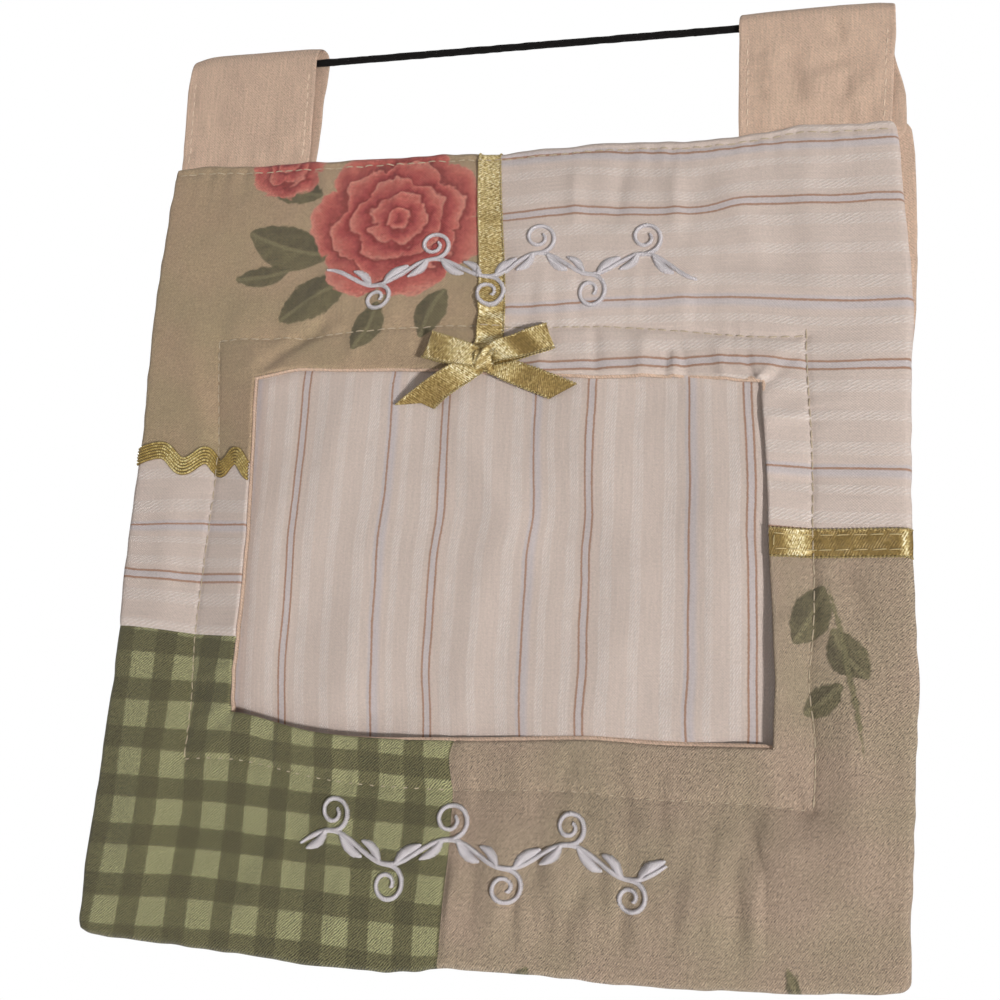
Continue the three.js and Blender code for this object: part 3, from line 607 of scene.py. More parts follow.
# Cotton with contrast in its grain, slubs and ribs, ribs that stand up, and threads at pitch
def cotton(net, colour, rib, fine, slub, ribbed, stand, pitch=0.4, thread=0.1):
    tinted, grain = mottled(net, colour, fine, DYE, slub, rib * ribbed, thread)
    height = weave(net, pitch) + rib * stand + grain * 0.9
    rough = grain.scaled(0.2, 0.9)
    return net.finish(tinted, height, rough, strength=0.55, depth=0.12, sheen=0.18)


def peach_cotton():
    net = new_material("peach_cotton")
    rib = twill(net, pitch=0.76, lean=1.0)
    colour = net.mix(net.noise(0.09, 3.0), srgb(212, 183, 160), srgb(201, 172, 152))
    return cotton(net, colour, rib, fine=0.65, slub=(0.16, 0.48), ribbed=0.17, stand=0.3,
                  pitch=0.42, thread=0.06)


LEAF_DARK, LEAF_MID, LEAF_RIB = srgb(78, 73, 54), srgb(112, 105, 76), srgb(140, 132, 98)
PETALS = [
    (0.0, srgb(138, 56, 56)), (0.28, srgb(172, 80, 76)),
    (0.62, srgb(194, 106, 96)), (0.97, srgb(208, 140, 124)),
]


# A pointed leaf on the flat cloth: its mask and the gap to its middle line
def leaf_mask(net, u0, v0, u1, v1, width, bend):
    u, v = net.flat()
    du, dv = u1 - u0, v0 - v1
    length = math.hypot(du, dv)
    cu, cv = du / length, dv / length
    a = (u - u0) * (cu / length) + (v - -v0) * (cv / length)
    b = (u - u0) * -cv + (v - -v0) * cu
    swell = (a.clamped() * math.pi).sine()
    b = b - swell * bend
    side = b.absolute() + (net.noise(0.55) - 0.5) * 1.6
    inside = net.math("POWER", swell, 0.8) * width - side
    ends = a.step(0.0, 0.03) * (1.0 - a.step(0.97, 1.0))
    return inside.step(-0.35, 0.45) * ends, b


# Printed leaves: from, to, half width and bend of each
def add_leaves(net, colour, leaves):
    patchy = net.noise(0.35, 3.0, rough=0.65)
    for leaf in leaves:
        mask, b = leaf_mask(net, *leaf)
        rib = b.absolute().step(0.2, 0.9)
        tone = patchy.scaled(0.9, b.step(-2.0, 2.0) * 0.25)
        paint = net.ramp(tone - 0.18, [(0.15, LEAF_DARK), (0.75, LEAF_MID)])
        paint = net.mix((1.0 - rib) * 0.45, paint, LEAF_RIB)
        colour = net.mix(mask * 0.92, colour, paint)
    return colour


# A round blossom: rings of scalloped petals, each shaded from its root to its rim
def blossom(net, colour, cu, cv, rings):
    u, v = net.flat()
    x = (u - cu) + (net.noise(0.16) - 0.5) * 7.0
    y = (v - -cv) + (net.noise(0.21, stretch=(1.0, 1.3)) - 0.5) * 7.0
    r = net.math("SQRT", x * x + y * y)
    angle = net.math("ARCTAN2", y, x)
    strokes = net.noise(0.9, 3.0, rough=0.7, distort=0.6)
    inner, layers = 0.0, []
    for radius, petals, turn, depth in rings:
        wave = angle.scaled(petals / 2, turn).sine().absolute()
        edge = net.math("POWER", wave, 0.7).scaled(depth, 1.0 - depth) * radius
        span = net.math("MAXIMUM", edge - inner, 0.2)
        layers.append(((edge - r).step(-0.3, 0.4), net.math("DIVIDE", r - inner, span), wave))
        inner = edge
    for mask, share, wave in reversed(layers):
        tone = share + (strokes - 0.5) * 0.7 - (1.0 - wave) * 0.25
        colour = net.mix(mask * 0.94, colour, net.ramp(tone, PETALS))
    return colour


# Tan ground of the two printed patches, in two close shades
def tan_ground(net, shade, other):
    return net.mix(net.noise(0.035).step(0.3, 0.7), shade, other)


def rose_cotton():
    net = new_material("printed_tan_cotton")
    colour = add_leaves(net, tan_ground(net, srgb(166, 147, 117), srgb(174, 149, 122)), [
        (52, 30, 27, 22, 6.5, 1.5), (58, 38, 38, 50, 6.0, -1.2), (48, 12, 30, 3, 5.0, 1.0),
        (66, 46, 60, 61, 4.2, 0.8), (84, 44, 78, 58, 4.0, -0.8), (40, 34, 24, 36, 3.2, 0.6),
    ])
    # Rings of each blossom: radius, petals, turn, depth of the scallops
    colour = blossom(net, colour, 70, 21, [
        (4.2, 3, 0.4, 0.25), (8.6, 5, 1.3, 0.22), (13.6, 5, 0.2, 0.2),
        (19.2, 6, 0.9, 0.18), (25.6, 7, 0.1, 0.16),
    ])
    colour = blossom(net, colour, 36, 1.0, [
        (3.4, 3, 0.8, 0.25), (7.2, 4, 0.1, 0.22), (11.5, 5, 1.0, 0.18),
    ])
    rib = twill(net, pitch=0.7, lean=-0.95)
    return cotton(net, colour, rib, fine=0.8, slub=(0.24, 0.24), ribbed=0.2, stand=0.7)


def tan_cotton():
    net = new_material("tan_cotton_sprig")
    colour = add_leaves(net, tan_ground(net, srgb(160, 144, 121), srgb(167, 146, 127)), [
        (186, 123, 178, 137, 5.2, 0.8), (188, 133, 196, 145, 4.0, -0.6),
        (191, 146, 181, 153, 3.2, 0.5), (186, 121, 194.5, 163, 0.75, 1.6),
        (118, 213, 112, 222, 2.6, 0.3), (178, 209, 181, 220, 1.6, 0.2),
    ])
    rib = twill(net, pitch=0.61, lean=-0.82)
    return cotton(net, colour, rib, fine=1.45, slub=(0.26, 0.26), ribbed=0.5, stand=0.8)


# Bands of satin hatching and the rust lines in a woven stripe, as shares of its width
SATIN_BANDS = [(0.092, 0.164), (0.276, 0.338), (0.466, 0.544), (0.718, 0.768), (0.868, 0.934)]
PAIR, SINGLE, LINE_HALF, LINE_RIM, BAND_SOFT = 0.0244, 0.622, 0.0046, 0.0086, 0.004


# Shares and colours across one rust line, from the ground before it to the ground after it
def rust_line(middle, before, after):
    rust = srgb(168, 131, 109)
    return [
        (middle - LINE_RIM, before), (middle - LINE_HALF, rust),
        (middle + LINE_HALF, rust), (middle + LINE_RIM, after),
    ]


# Woven stripes: paired and single rust lines, pale violet bands, satin hatching; level or upright
def stripe_cotton(name, level, start, period):
    net = new_material(name)
    u, v = net.flat()
    wander = (net.noise(0.35) - 0.5) * 0.25 + (net.noise(1.8) - 0.5) * 0.3
    across, run = (v * -1.0 + wander, u) if level else (u + wander, v)
    share = net.math("FRACT", net.math("DIVIDE", across + (20 * period - start), period))
    violet, base = srgb(200, 189, 188), srgb(209, 192, 182)
    colour = net.ramp(share, [
        (0.0, violet), *rust_line(PAIR, violet, base),
        (SINGLE - 0.03, base), (SINGLE - 0.018, violet), *rust_line(SINGLE, violet, violet),
        (SINGLE + 0.035, violet), (SINGLE + 0.06, base), *rust_line(1 - PAIR, base, violet),
    ])
    mask = None
    for low, high in SATIN_BANDS:
        ends = 1.0 - share.step(high - BAND_SOFT, high + BAND_SOFT)
        band = share.step(low - BAND_SOFT, low + BAND_SOFT) * ends
        mask = band if mask is None else mask + band
    slant = across.scaled(1.73 if level else -1.9, run)
    hatch = (slant * (TURN / (1.7 if level else 1.15))).sine()
    ribs = (across * (TURN / 0.8)).sine()
    hatch = (hatch + ribs * 0.45).step(0.0, 0.9)
    patchy = net.noise(0.22).step(0.32, 0.62)
    satin = mask * hatch * patchy.scaled(0.6, 0.4)
    pale = satin.scaled(0.45 if level else 0.6, mask * 0.1)
    colour = net.mix(pale, colour, srgb(230, 222, 217))
    slub = (0.2, 0.06) if level else (0.06, 0.24)
    tinted, grain = mottled(net, colour, fine=0.34, broad=0.03, slub=slub, thread=0.04)
    height = weave(net, 0.36) + grain * 0.7 + satin * 1.4
    rough = satin.scaled(-0.3, 0.88)
    return net.finish(tinted, height, rough, strength=0.5, depth=0.1, sheen=0.18)


def gingham_cotton():
    net = new_material("gingham_cotton")
    u, v = net.flat()
    ragged = (net.noise(0.9, 3.0, rough=0.7) - 0.5) * 1.1
    bow = (net.noise(0.03, 1.0) - 0.5) * 1.6
    masks = []
    for place, pitch, start in ((u + bow, 12.05, 3.75), (v - bow, 12.5, 8.8)):
        share = net.math("PINGPONG", place + start + ragged, pitch / 2)
        masks.append(share.step(pitch * 0.255, pitch * 0.3))
    light, middle, dark = srgb(149, 147, 108), srgb(103, 99, 68), srgb(88, 84, 57)
    colour = net.mix(masks[0], light, middle)
    colour = net.mix(masks[1], colour, net.mix(masks[0], middle, dark))
    rib = twill(net, pitch=0.74, lean=-1.0, broken=0.45)
    tinted, grain = mottled(
        net, colour, fine=1.8, broad=0.07, slub=(0.24, 0.24), rib=rib * 0.8)
    height = rib * 0.9 + grain
    return net.finish(tinted, height, rough=0.9, strength=0.5, depth=0.12, sheen=0.18)


GOLD = {"Metallic": 0.08, "Specular_Tint": (1.0, 0.88, 0.62, 1.0)}


# Per-point painted shine: a share of painted highlight laid on each ribbon and on the braid
def painted_shine_of(net):
    return net.node("ShaderNodeAttribute", output="Fac", attribute_name="painted_shine")


# Satin ribbon: dark gold, paled by painted highlight where its painted shine is high, with fine
# cross floats and painted glints there
def satin_ribbon():
    net = new_material("gold_satin_ribbon")
    u, v = net.flat()
    painted_shine = painted_shine_of(net)
    floats = ((u * 0.5 + v) * (TURN / 0.62)).sine()
    floats = floats * net.noise(0.6).step(0.3, 0.65)
    fleck_and_painted_glint = net.noise(1.5, stretch=(0.7, 1.0), rough=0.6) - 0.5
    rim = u.absolute().step(2.5, 3.3)
    tone = painted_shine * 0.72 + floats * painted_shine.scaled(0.28, 0.035)
    # Painted glints: flecks, brightest where the painted shine is high, and bright dots along the
    # ribbon's edges
    tone = tone + fleck_and_painted_glint * painted_shine.scaled(2.0, 0.25) + rim * fleck_and_painted_glint.step(0.02, 0.12) * 0.35
    # The palest stops are painted highlight and painted glint colours
    colour = net.ramp(tone, [
        (0.0, srgb(104, 83, 42)), (0.22, srgb(142, 117, 66)), (0.44, srgb(184, 160, 104)),
        (0.66, srgb(224, 206, 152)), (0.9, srgb(255, 247, 214)),
    ])
    crinkle = net.noise(0.4, stretch=(1.0, 0.8), distort=0.4)
    height = floats * 0.25 + (crinkle * 1.2 + fleck_and_painted_glint * 0.4)
    rough = painted_shine.scaled(-0.15, 0.46)
    return net.finish(colour, height, rough, strength=0.6, depth=0.4, sheen=0.05, **GOLD)


# Gold cord: painted highlight along its crown and painted shade at its sides, with painted glint
# dashes where the plies turn up, brightest where its painted shine is high
def braid_cord():
    net = new_material("gold_braid_cord")
    u, v = net.flat()
    # Painted highlight along the cord's top and painted shade at its sides
    crown = (v * (TURN / GIRTH)).sine().step(0.25, 0.98)
    painted_shine = painted_shine_of(net)
    painted_glint_dash = net.noise(1.7, stretch=(1.0, 0.2), rough=0.6).step(0.4, 0.64)
    ply = ((u + v * 0.9) * (TURN / 0.62)).sine()
    body = ply.scaled(0.12, 0.27) + painted_shine * 0.22
    colour = net.ramp(crown * (body + painted_glint_dash * painted_shine.scaled(0.34, 0.12)), [
        (0.0, srgb(102, 80, 36)), (0.32, srgb(146, 120, 60)),
        (0.6, srgb(194, 170, 102)), (0.92, srgb(248, 235, 180)),
    ])
    return net.finish(
        colour, ply + painted_glint_dash, rough=0.4, strength=0.5, depth=0.15, sheen=0.05, **GOLD)


# Twisted cord or sewing thread: slanting plies along the strand
def thread(name, colour, pale, pitch=0.45, rough=0.6, metallic=0.0, sheen=0.3):
    net = new_material(name)
    u, v = net.flat()
    ply = ((u + v * 0.8) * (TURN / pitch)).sine()
    fuzz = net.noise(3.0, 3.0)
    mixed = net.ramp(ply.scaled(0.25, fuzz * 0.9), [(0.15, srgb(*colour)), (0.85, srgb(*pale))])
    return net.finish(
        mixed, ply + fuzz, rough, strength=0.5, depth=0.1, sheen=sheen, Metallic=metallic)


def rod_paint():
    net = new_material("rough_black_rod")
    fuzz = net.noise(1.4, 4.0, stretch=(0.6, 1.0), rough=0.7)
    colour = net.ramp(fuzz, [(0.3, srgb(8, 7, 7)), (0.7, srgb(26, 23, 22))])
    height = fuzz + net.noise(5.0) * 0.5
    return net.finish(
        colour, height, rough=0.9, strength=0.8, depth=0.3, sheen=0.03, Specular_IOR_Level=0.12)


MATERIALS = {
    "rose": rose_cotton(),
    "tan": tan_cotton(),
    "stripe_right": stripe_cotton("stripe_cotton_level", level=True, start=20.5, period=45.0),
    "stripe_left": stripe_cotton("stripe_cotton_left", level=True, start=121.5, period=45.0),
    "backing": stripe_cotton("stripe_cotton_upright", level=False, start=48.2, period=40.4),
    "gingham": gingham_cotton(),
    "peach": peach_cotton(),
    "satin": satin_ribbon(),
    "braid": braid_cord(),
    "picot": thread("gold_ribbon_edge", (116, 92, 40), (232, 212, 152),
                    pitch=0.5, rough=0.34, metallic=0.15, sheen=0.05),
    "thread": thread("beige_sewing_thread", (170, 150, 122), (226, 210, 182)),
    "peach_thread": thread("peach_sewing_thread", (218, 191, 167), (246, 225, 203)),
    "pale": thread("cream_ribbon_thread", (198, 174, 116), (236, 218, 168)),
    "white": thread("white_embroidery_thread", (186, 178, 182), (240, 235, 237),
                    pitch=0.6, rough=0.45),
    "rod": rod_paint(),
}

# The five patches of the front: left, right, top and bottom of each, and its slot
PATCHES = {
    "rose": ((0, SEAM_U, 0, BRAID_V), "tan_cotton"),
    "stripe_right": ((SEAM_U, PANEL_W, 0, RIBBON_V), "stripe_cotton"),
    "stripe_left": ((0, WIN_L, BRAID_V, GINGHAM_V), "stripe_cotton"),
    "gingham": ((0, SEAM_U, GINGHAM_V, PANEL_H), "gingham_cotton"),
    "tan": ((SEAM_U, PANEL_W, RIBBON_V, PANEL_H), "tan_cotton"),
}
# Widest gap between the lines of a patch's grid, and a patch's thickness inside and at the rim
PATCH_STEP, PATCH_THICK, RIM_THICK = 1.15, 0.54, 0.04
# How much fuller the wrinkled cloth is than its place on the flat panel
FULLNESS = 1.04

# How far the level stripes are drawn down the cloth, at places on the flat panel
STRIPE_DRAWN = [
    (100, 3, -0.8), (126, 3, -0.2), (152, 3, 0.9), (165, 3, 0.9), (180, 3, 2.2), (200, 3, 2.0),
    (103, 17, 1.6), (116, 17, 0.6), (135, 17, 1.5), (156, 17, 2.0), (168, 17, -0.2),
    (180, 17, 0.7), (200, 17, 1.0), (108, 43, 1.8), (126, 43, 0.9), (155, 43, -2.4),
    (172, 43, -2.8), (200, 43, 0.3), (113, 62, -0.4), (134, 62, -1.7), (150, 62, -2.2),
    (174, 62, -4.2), (188, 62, -1.9), (202, 62, -0.2), (176, 92, -1.7), (200, 92, -0.3),
    (190, 112, 0.0),
]

CHECK_DRAWN = [
    (8, 146, 0.0, 0.7), (32, 146, 0.0, 1.6), (8, 159, 0.2, 1.3), (20, 159, 1.4, 2.5),
    (32, 159, 1.0, 4.1), (46, 163, 0.3, 4.8), (68, 163, 0.0, 2.6), (92, 163, 0.0, 3.7),
    (8, 171, 0.0, 0.9), (20, 171, 2.2, 3.1), (32, 171, 2.2, 4.1), (44, 171, 0.6, 4.1),
    (57, 171, 0.0, 2.7), (75, 171, -1.0, 1.9), (92, 171, -0.6, 2.7), (8, 184, -0.4, 0.6),
    (26, 184, 0.4, 2.2), (44, 184, 0.4, 2.4), (68, 184, 0.0, 1.5), (92, 184, -0.6, 1.3),
    (8, 196, 0.2, 0.0), (44, 196, 0.0, 0.0), (68, 196, 0.0, -0.6), (92, 196, 0.0, 0.4),
    (8, 209, 1.2, -0.2), (32, 209, 0.2, -1.6), (56, 209, 0.2, -2.2), (80, 209, 0.0, -1.3),
    (93, 209, 0.0, 0.0),
]


# How far the pattern of a patch is drawn over its cloth
def pattern_drawn(name, u, v):
    if name == "stripe_right":
        return np.c_[0 * u, thin_plate(STRIPE_DRAWN)(u, v)]
    if name == "gingham":
        return thin_plate(CHECK_DRAWN)(u, v)
    if name == "stripe_left":
        return np.c_[0 * u, (1 - smooth(v, 105, 120)) * (2.3 + 2.2 * np.maximum(1 - u / 20, 0))]
    return 0.0


def make_patches():
    us = fine_lines([0, ST_L, WIN_L, SEAM_U, WIN_R, ST_R, PANEL_W], PATCH_STEP)
    seams = [BRAID_V, RIBBON_V, GINGHAM_V]
    vs = fine_lines([0, TOP_ROW, ST_T, WIN_T, *seams, WIN_B, ST_B, PANEL_H], PATCH_STEP)
    uu, vv = grid(us, vs)
    front = on_front(uu, vv)
    full = smooth(-box_gap(uu, vv, *PANEL), -0.3, 1.5)
    back = front + inwards((PATCH_THICK - RIM_THICK) * full + RIM_THICK)
    cells = grid(middles(us), middles(vs))
    for name, (box, slot) in PATCHES.items():
        keep = (box_gap(*cells, *box) < 0) & (box_gap(*cells, *WINDOW) > 0)
        verts, faces, flat = closed_cloth(us, vs, front, back, keep)
        flat = flat + pattern_drawn(name, flat[:, 0], -flat[:, 1])
        ob = add_object(f"{name}_cloth", (verts, faces, flat), name, f"patch_{name}")
        left, right, top, bottom = box
        cut = ((right - left) * FULLNESS * MM, (bottom - top) * FULLNESS * MM)


make_patches()

# Facing behind the window's edge: its reach, and its turned lip showing at the left, top and bottom
FACING_REACH, FACING_CLEAR, FACING_THICK = 15.0, 1.3, 0.35
LIP_L, LIP_R, LIP_T, LIP_B = 0.75, -0.35, 0.6, 0.9
# How far the facing lies behind the front cloth, how far its lip turns back, and the lip's radius
FACING_SINK, LIP_SINK, LIP_ROUND = 0.66, 0.45, 0.6


def make_facing():
    reach = FACING_REACH
    lip = l, r, t, b = WIN_L + LIP_L, WIN_R - LIP_R, WIN_T + LIP_T, WIN_B - LIP_B
    us = fine_lines([WIN_L - reach, WIN_L, l, r, WIN_R, WIN_R + reach], 1.6, (0.2, 0.5))
    vs = fine_lines([WIN_T - reach, WIN_T, t, b, WIN_B, WIN_B + reach], 1.6, (0.2, 0.5))
    uu, vv = grid(us, vs)
    near = box_gap(uu, vv, *WINDOW) < FACING_CLEAR

    # Places moved out from the window's edge, where the front cloth turns under
    def clear(x, low, high):
        x = np.where(near & (np.abs(x - low) < 4), low - FACING_CLEAR, x)
        return np.where(near & (np.abs(x - high) < 4), high + FACING_CLEAR, x)

    height = front_height(clear(uu, WIN_L, WIN_R), clear(vv, WIN_T, WIN_B))
    shown = 0.04 + 0.96 * smooth(uu, 58, 104)
    lip_v = np.where((vv < WIN_B) & (vv > WIN_B - 1.2), WIN_B - (WIN_B - vv) * shown, vv)
    lift = -FACING_SINK - LIP_SINK * (1 - rounded(box_gap(uu, vv, *lip), LIP_ROUND))
    front = on_front(uu, lip_v, lift, height)
    keep = box_gap(*grid(middles(us), middles(vs)), *lip) > 0
    mesh = closed_cloth(us, vs, front, front + inwards(FACING_THICK), keep)
    ob = add_object("facing_cloth", mesh, "peach", "window_facing")


make_facing()

# Folds of the backing: from, to, half width, height
BACKING_FOLDS = [
    (88, 70, 112, 116, 6, 0.7), (60, 70, 52, 120, 7, 0.5), (120, 72, 150, 128, 8, 0.6),
    (70, 112, 66, 160, 6, 0.5), (104, 112, 98, 160, 6, 0.6), (140, 110, 134, 160, 7, 0.5),
    (158, 80, 162, 150, 6, 0.5), (44, 80, 42, 150, 5, 0.4), (52, 104, 96, 126, 6, 0.4),
    (110, 120, 150, 146, 6, 0.4),
]

# How far the backing is drawn sideways behind the window, at places on the flat panel
BACKING_DRAWN = [
    (44, 72, -1.5), (70, 74, -1.1), (108, 76, -2.3), (150, 74, -1.6), (166, 76, -1.9),
    (46, 100, -0.8), (68, 112, -1.6), (84, 112, -0.7), (106, 108, 0.3), (122, 100, -1.4),
    (150, 100, -1.4), (164, 112, -0.6), (42, 150, 1.0), (66, 146, -0.8), (84, 150, 0.3),
    (122, 150, 0.0), (164, 152, -0.2),
]
BACKING_L, BACKING_R, BACKING_T, BACKING_B = 8.0, 197.0, 11.0, 207.0
# Depth of the backing where it lies flat, and its thickness
BACKING_Y, BACKING_THICK = 0.45, 0.3


# Share of the backing that is free of the stitched rows
def backing_shown(u, v):
    return smooth(-box_gap(u, v, *STITCHED), 0, 14)


# Height of the striped backing off the flat, drawn up into soft folds behind the window
def backing_rise(u, v):
    rise = waves(u, v, (0.35, 31, 41), (0.18, 12, 42)) + folded(u, v, BACKING_FOLDS)
    near_edge = 1.6 * smooth(u, 138, 170) * (1 - 0.5 * smooth(v, 118, 150))
    sunk = 0.9 * bump(v - WIN_B, 6) * (1 - smooth(u, 80, 125))
    return np.maximum(0.25 + backing_shown(u, v) * (0.3 + 1.5 * rise + near_edge - sunk), 0.1)


def make_backing():
    us = fine_lines([BACKING_L, BACKING_R], 1.5, ())
    vs = fine_lines([BACKING_T, BACKING_B], 1.5, ())
    uu, vv = grid(us, vs)
    shown = backing_shown(uu, vv)
    bend = 0.7 * noise(uu * 0.7, vv, 24, 43) + 0.35 * noise(uu, vv, 12, 44)
    bend = bend - 1.7 * smooth(vv, 103, 117) * smooth(uu, 70, 100) * (1 - smooth(uu, 112, 168))
    bend = bend + np.clip(thin_plate(BACKING_DRAWN)(uu, vv)[..., 0], -2.5, 2.5)
    x = uu + shown * bend - PANEL_W / 2
    z = -ROD_DROP - vv + shown * 0.6 * noise(uu, vv, 30, 45)
    front = np.stack([x, BACKING_Y - backing_rise(uu, vv), z], -1) * MM
    mesh = closed_cloth(us, vs, front, front + inwards(BACKING_THICK))
    ob = add_object("backing_cloth", mesh, "backing", "photo_backing")


make_backing()

# Folds of the back: from, to, half width, height
BACK_FOLDS = [
    (14, 8, 40, 60, 6, 0.5), (60, 6, 64, 40, 5, 0.45), (120, 6, 112, 46, 6, -0.4),
    (170, 8, 150, 64, 6, 0.5), (190, 30, 186, 110, 7, 0.5), (30, 100, 44, 190, 9, 0.5),
    (90, 90, 84, 170, 10, -0.4), (140, 100, 150, 196, 9, 0.5), (12, 150, 20, 205, 5, 0.4),
    (176, 150, 190, 206, 6, 0.45),
]
# Depth of the back's turned hem, how far it is tucked in and how far it peeks out at upper right
HEM_Y, HEM_TUCK, HEM_PEEK = 0.85, 0.1, 3.7


# Front and rear faces of the back cloth at places on the flat panel
def back_faces(u, v):
    edge = -box_gap(u, v, *PANEL)
    loose = smooth(edge, *LOOSE)
    swell = loose * waves(u, v, (0.6, 41, 51), (0.34, 19, 52), (0.1, 7, 53))
    swell = swell + loose * folded(u, v, BACK_FOLDS)
    top = v - TOP_ROW
    swell = swell + smooth(edge, 0, 2.5) * pucker(u, top, 55, 6.0) * 1.5 - 0.22 * bump(top, 1.0)
    roll = rounded(edge, 1.6)
    shift = shift_at(u, v)
    peek = HEM_PEEK * smooth(u, 150, PANEL_W) * (1 - smooth(v, 8, 66))
    inset_u = HEM_TUCK * (1 - smooth(u, 0, 5) - smooth(u, PANEL_W - 5, PANEL_W))
    inset_v = HEM_TUCK * (1 - smooth(v, 0, 4) - smooth(v, PANEL_H - 5, PANEL_H))
    x = u + shift[..., 0] + peek + inset_u - PANEL_W / 2
    z = -ROD_DROP - v - shift[..., 1] - inset_v
    rear = HEM_Y + 0.03 + (REAR - HEM_Y + np.maximum(swell, -0.35)) * roll
    face = HEM_Y - 0.03 - (0.34 - np.clip(swell, -0.3, 0.3) - 0.36 * loose) * roll
    return (np.stack([x, y, z], -1) * MM for y in (face, rear))


def on_back(u, v, lift):
    _, rear = back_faces(u, v)
    return rear + inwards(lift)


def make_back():
    us, vs = fine_lines([0, PANEL_W], 2.2), fine_lines([0, TOP_ROW, PANEL_H], 2.2)
    mesh = closed_cloth(us, vs, *back_faces(*grid(us, vs)))
    ob = add_object("back_cloth", mesh, "peach", "back_panel")


make_back()

# The two hanging tabs
TABS = {
    "tab_left": SimpleNamespace(
        # left edge on the flat panel, and lean of each side at the rod
        left=1.4, lean=(-0.4, 0.4),
        # how the rear leg spreads from the seam up, and what share of that its left side takes
        spread=(1.9, 1.8, 1.8, 3.0), held=0.15,
        # droop of its corners, how far it stands up over the rod, and how wrinkled it is
        droop=(1.5, 0.4), crown=0.75, wrinkled=0.75, seed=61,
        # folds: across and up from the rod, to across and up, half width, height
        folds=[
            (8, -6, 11, -22, 3.0, -0.5), (28, -10, 25, -28, 3.0, -0.5),
            (17, -3, 18, -16, 2.4, 0.4), (33, -20, 36, -30, 2.4, 0.5),
        ]),
    "tab_right": SimpleNamespace(
        left=163.8, lean=(0.0, 1.4), spread=(4.0, 3.6, 0.9, 1.0), held=1.0,
        droop=(0.3, 0.6), crown=0.0, wrinkled=1.0, seed=71, folds=[
            (23.4, 2, 26.4, -8, 1.3, -0.6), (26.5, 1, 29, -7, 1.8, 0.35),
            (29, -12, 18, -14.6, 2.2, -0.55), (13, -10, 15.6, -23, 2.4, -0.7),
            (27.2, -17, 27.6, -24, 1.8, -0.6), (30, -25, 38, -14, 3.0, 0.5),
            (7, -8, 9, -24, 2.6, 0.4), (19, -18, 21, -27, 2.2, 0.4),
            (4, -14, 7, -16, 1.2, -0.4), (4, -20, 7, -22, 1.2, -0.4),
            (4, -8, 7, -9.5, 1.2, -0.35), (34, -6, 37, -9, 1.4, -0.35),
        ]),
}
# Radius of the loop over the rod, how far in the stitched rows lie and the pitch of a stitch there
LOOP_R, TAB_ROW, TAB_PITCH = 2.3, 2.2, 2.95
TAB_FOOT, TAB_MOUTH = -ROD_DROP - 8.0, -ROD_DROP + 1.0
# Half thickness of a tab at its sides, what it gains inside, and the radius of its sides
TAB_THIN, TAB_SWELL, TAB_ROUND = 0.03, 0.26, 0.6


# How far a tab's legs stand from the rod's plane at a height
def leg_reach(z):
    out = np.interp(z, [TAB_FOOT, TAB_MOUTH, 0], [0.42, 0.5, LOOP_R])
    return out + 0.35 * np.sin(np.pi * np.clip((z - TAB_MOUTH) / -TAB_MOUTH, 0, 1))


# Side view of a tab: up its front leg, over the rod and down its rear leg, as depth and height
def tab_section():
    legs = np.r_[np.linspace(TAB_FOOT, TAB_MOUTH, 8)[:-1], np.linspace(TAB_MOUTH, 0, 34)]
    out = leg_reach(legs)
    turn = np.linspace(0, np.pi, 18)[1:-1]
    y = np.r_[-out, -LOOP_R * np.cos(turn), out[::-1]]
    return np.c_[y, np.r_[legs, LOOP_R * np.sin(turn) * 1.65, legs[::-1]]]


TAB_PATH = tab_section()
TAB_RUN = run_along(TAB_PATH)
TAB_TANGENT = tangents(TAB_PATH)


# A place on a tab: s along it from its front foot, a across it, off outwards from its middle
def on_tab(tab, s, a, off):
    s, a = np.broadcast_arrays(np.asarray(s, float), np.asarray(a, float))
    y, z = np.moveaxis(along(s, TAB_RUN, TAB_PATH), -1, 0)
    nz, ny = np.moveaxis(along(s, TAB_RUN, TAB_TANGENT), -1, 0)
    front = np.clip(0.5 - y / (2 * leg_reach(z)), 0, 1)
    high = np.clip((z + ROD_DROP) / ROD_DROP, 0, 1.1)
    share = a / TAB_W
    u = tab.left + a + front * high * (tab.lean[0] * (1 - share) + tab.lean[1] * share)
    spread = np.interp(high, [0, 0.3, 0.7, 1.1], tab.spread)
    spread = spread * smooth(z, -ROD_DROP - 7, -ROD_DROP)
    u = u + (1 - front) * spread * (tab.held + (1 - tab.held) * share)
    free = smooth(z, -ROD_DROP + 1, -ROD_DROP + 10) * (1 - 0.6 * smooth(z, -6, 0))
    rise = waves(a, s, (0.4, 15, tab.seed), (0.2, 6.5, tab.seed + 1))
    rise = tab.wrinkled * free * (rise - folded(a, z, tab.folds))
    gather = bump(z + ROD_DROP - 3, 5) * smooth(z, -ROD_DROP - 2, -ROD_DROP + 2)
    rise = rise + 0.2 * gather * np.sin(TURN * a / 8.5 + 4 * noise(a, s, 9, tab.seed + 2))
    row = free * bump(np.minimum(a, TAB_W - a) - TAB_ROW, 0.9)
    rise = rise + row * (0.2 - 0.12 * np.sin(TURN * s / TAB_PITCH))
    corner = tab.droop[0] * np.clip(1 - a / 9, 0, 1) ** 2
    corner = corner + tab.droop[1] * np.clip(1 - (TAB_W - a) / 7, 0, 1) ** 2
    corner = corner * smooth(z, -9, 3)
    z = z - corner + tab.crown * smooth(z, 0, 3.6)
    u = u + 0.5 * corner * np.where(a < TAB_W / 2, 1, -1)
    u = u + 0.3 * noise(s, a * 0.1, 7, tab.seed + 5)
    out = off - rise
    return np.stack([u - PANEL_W / 2, y - ny * out, z + nz * out], -1) * MM


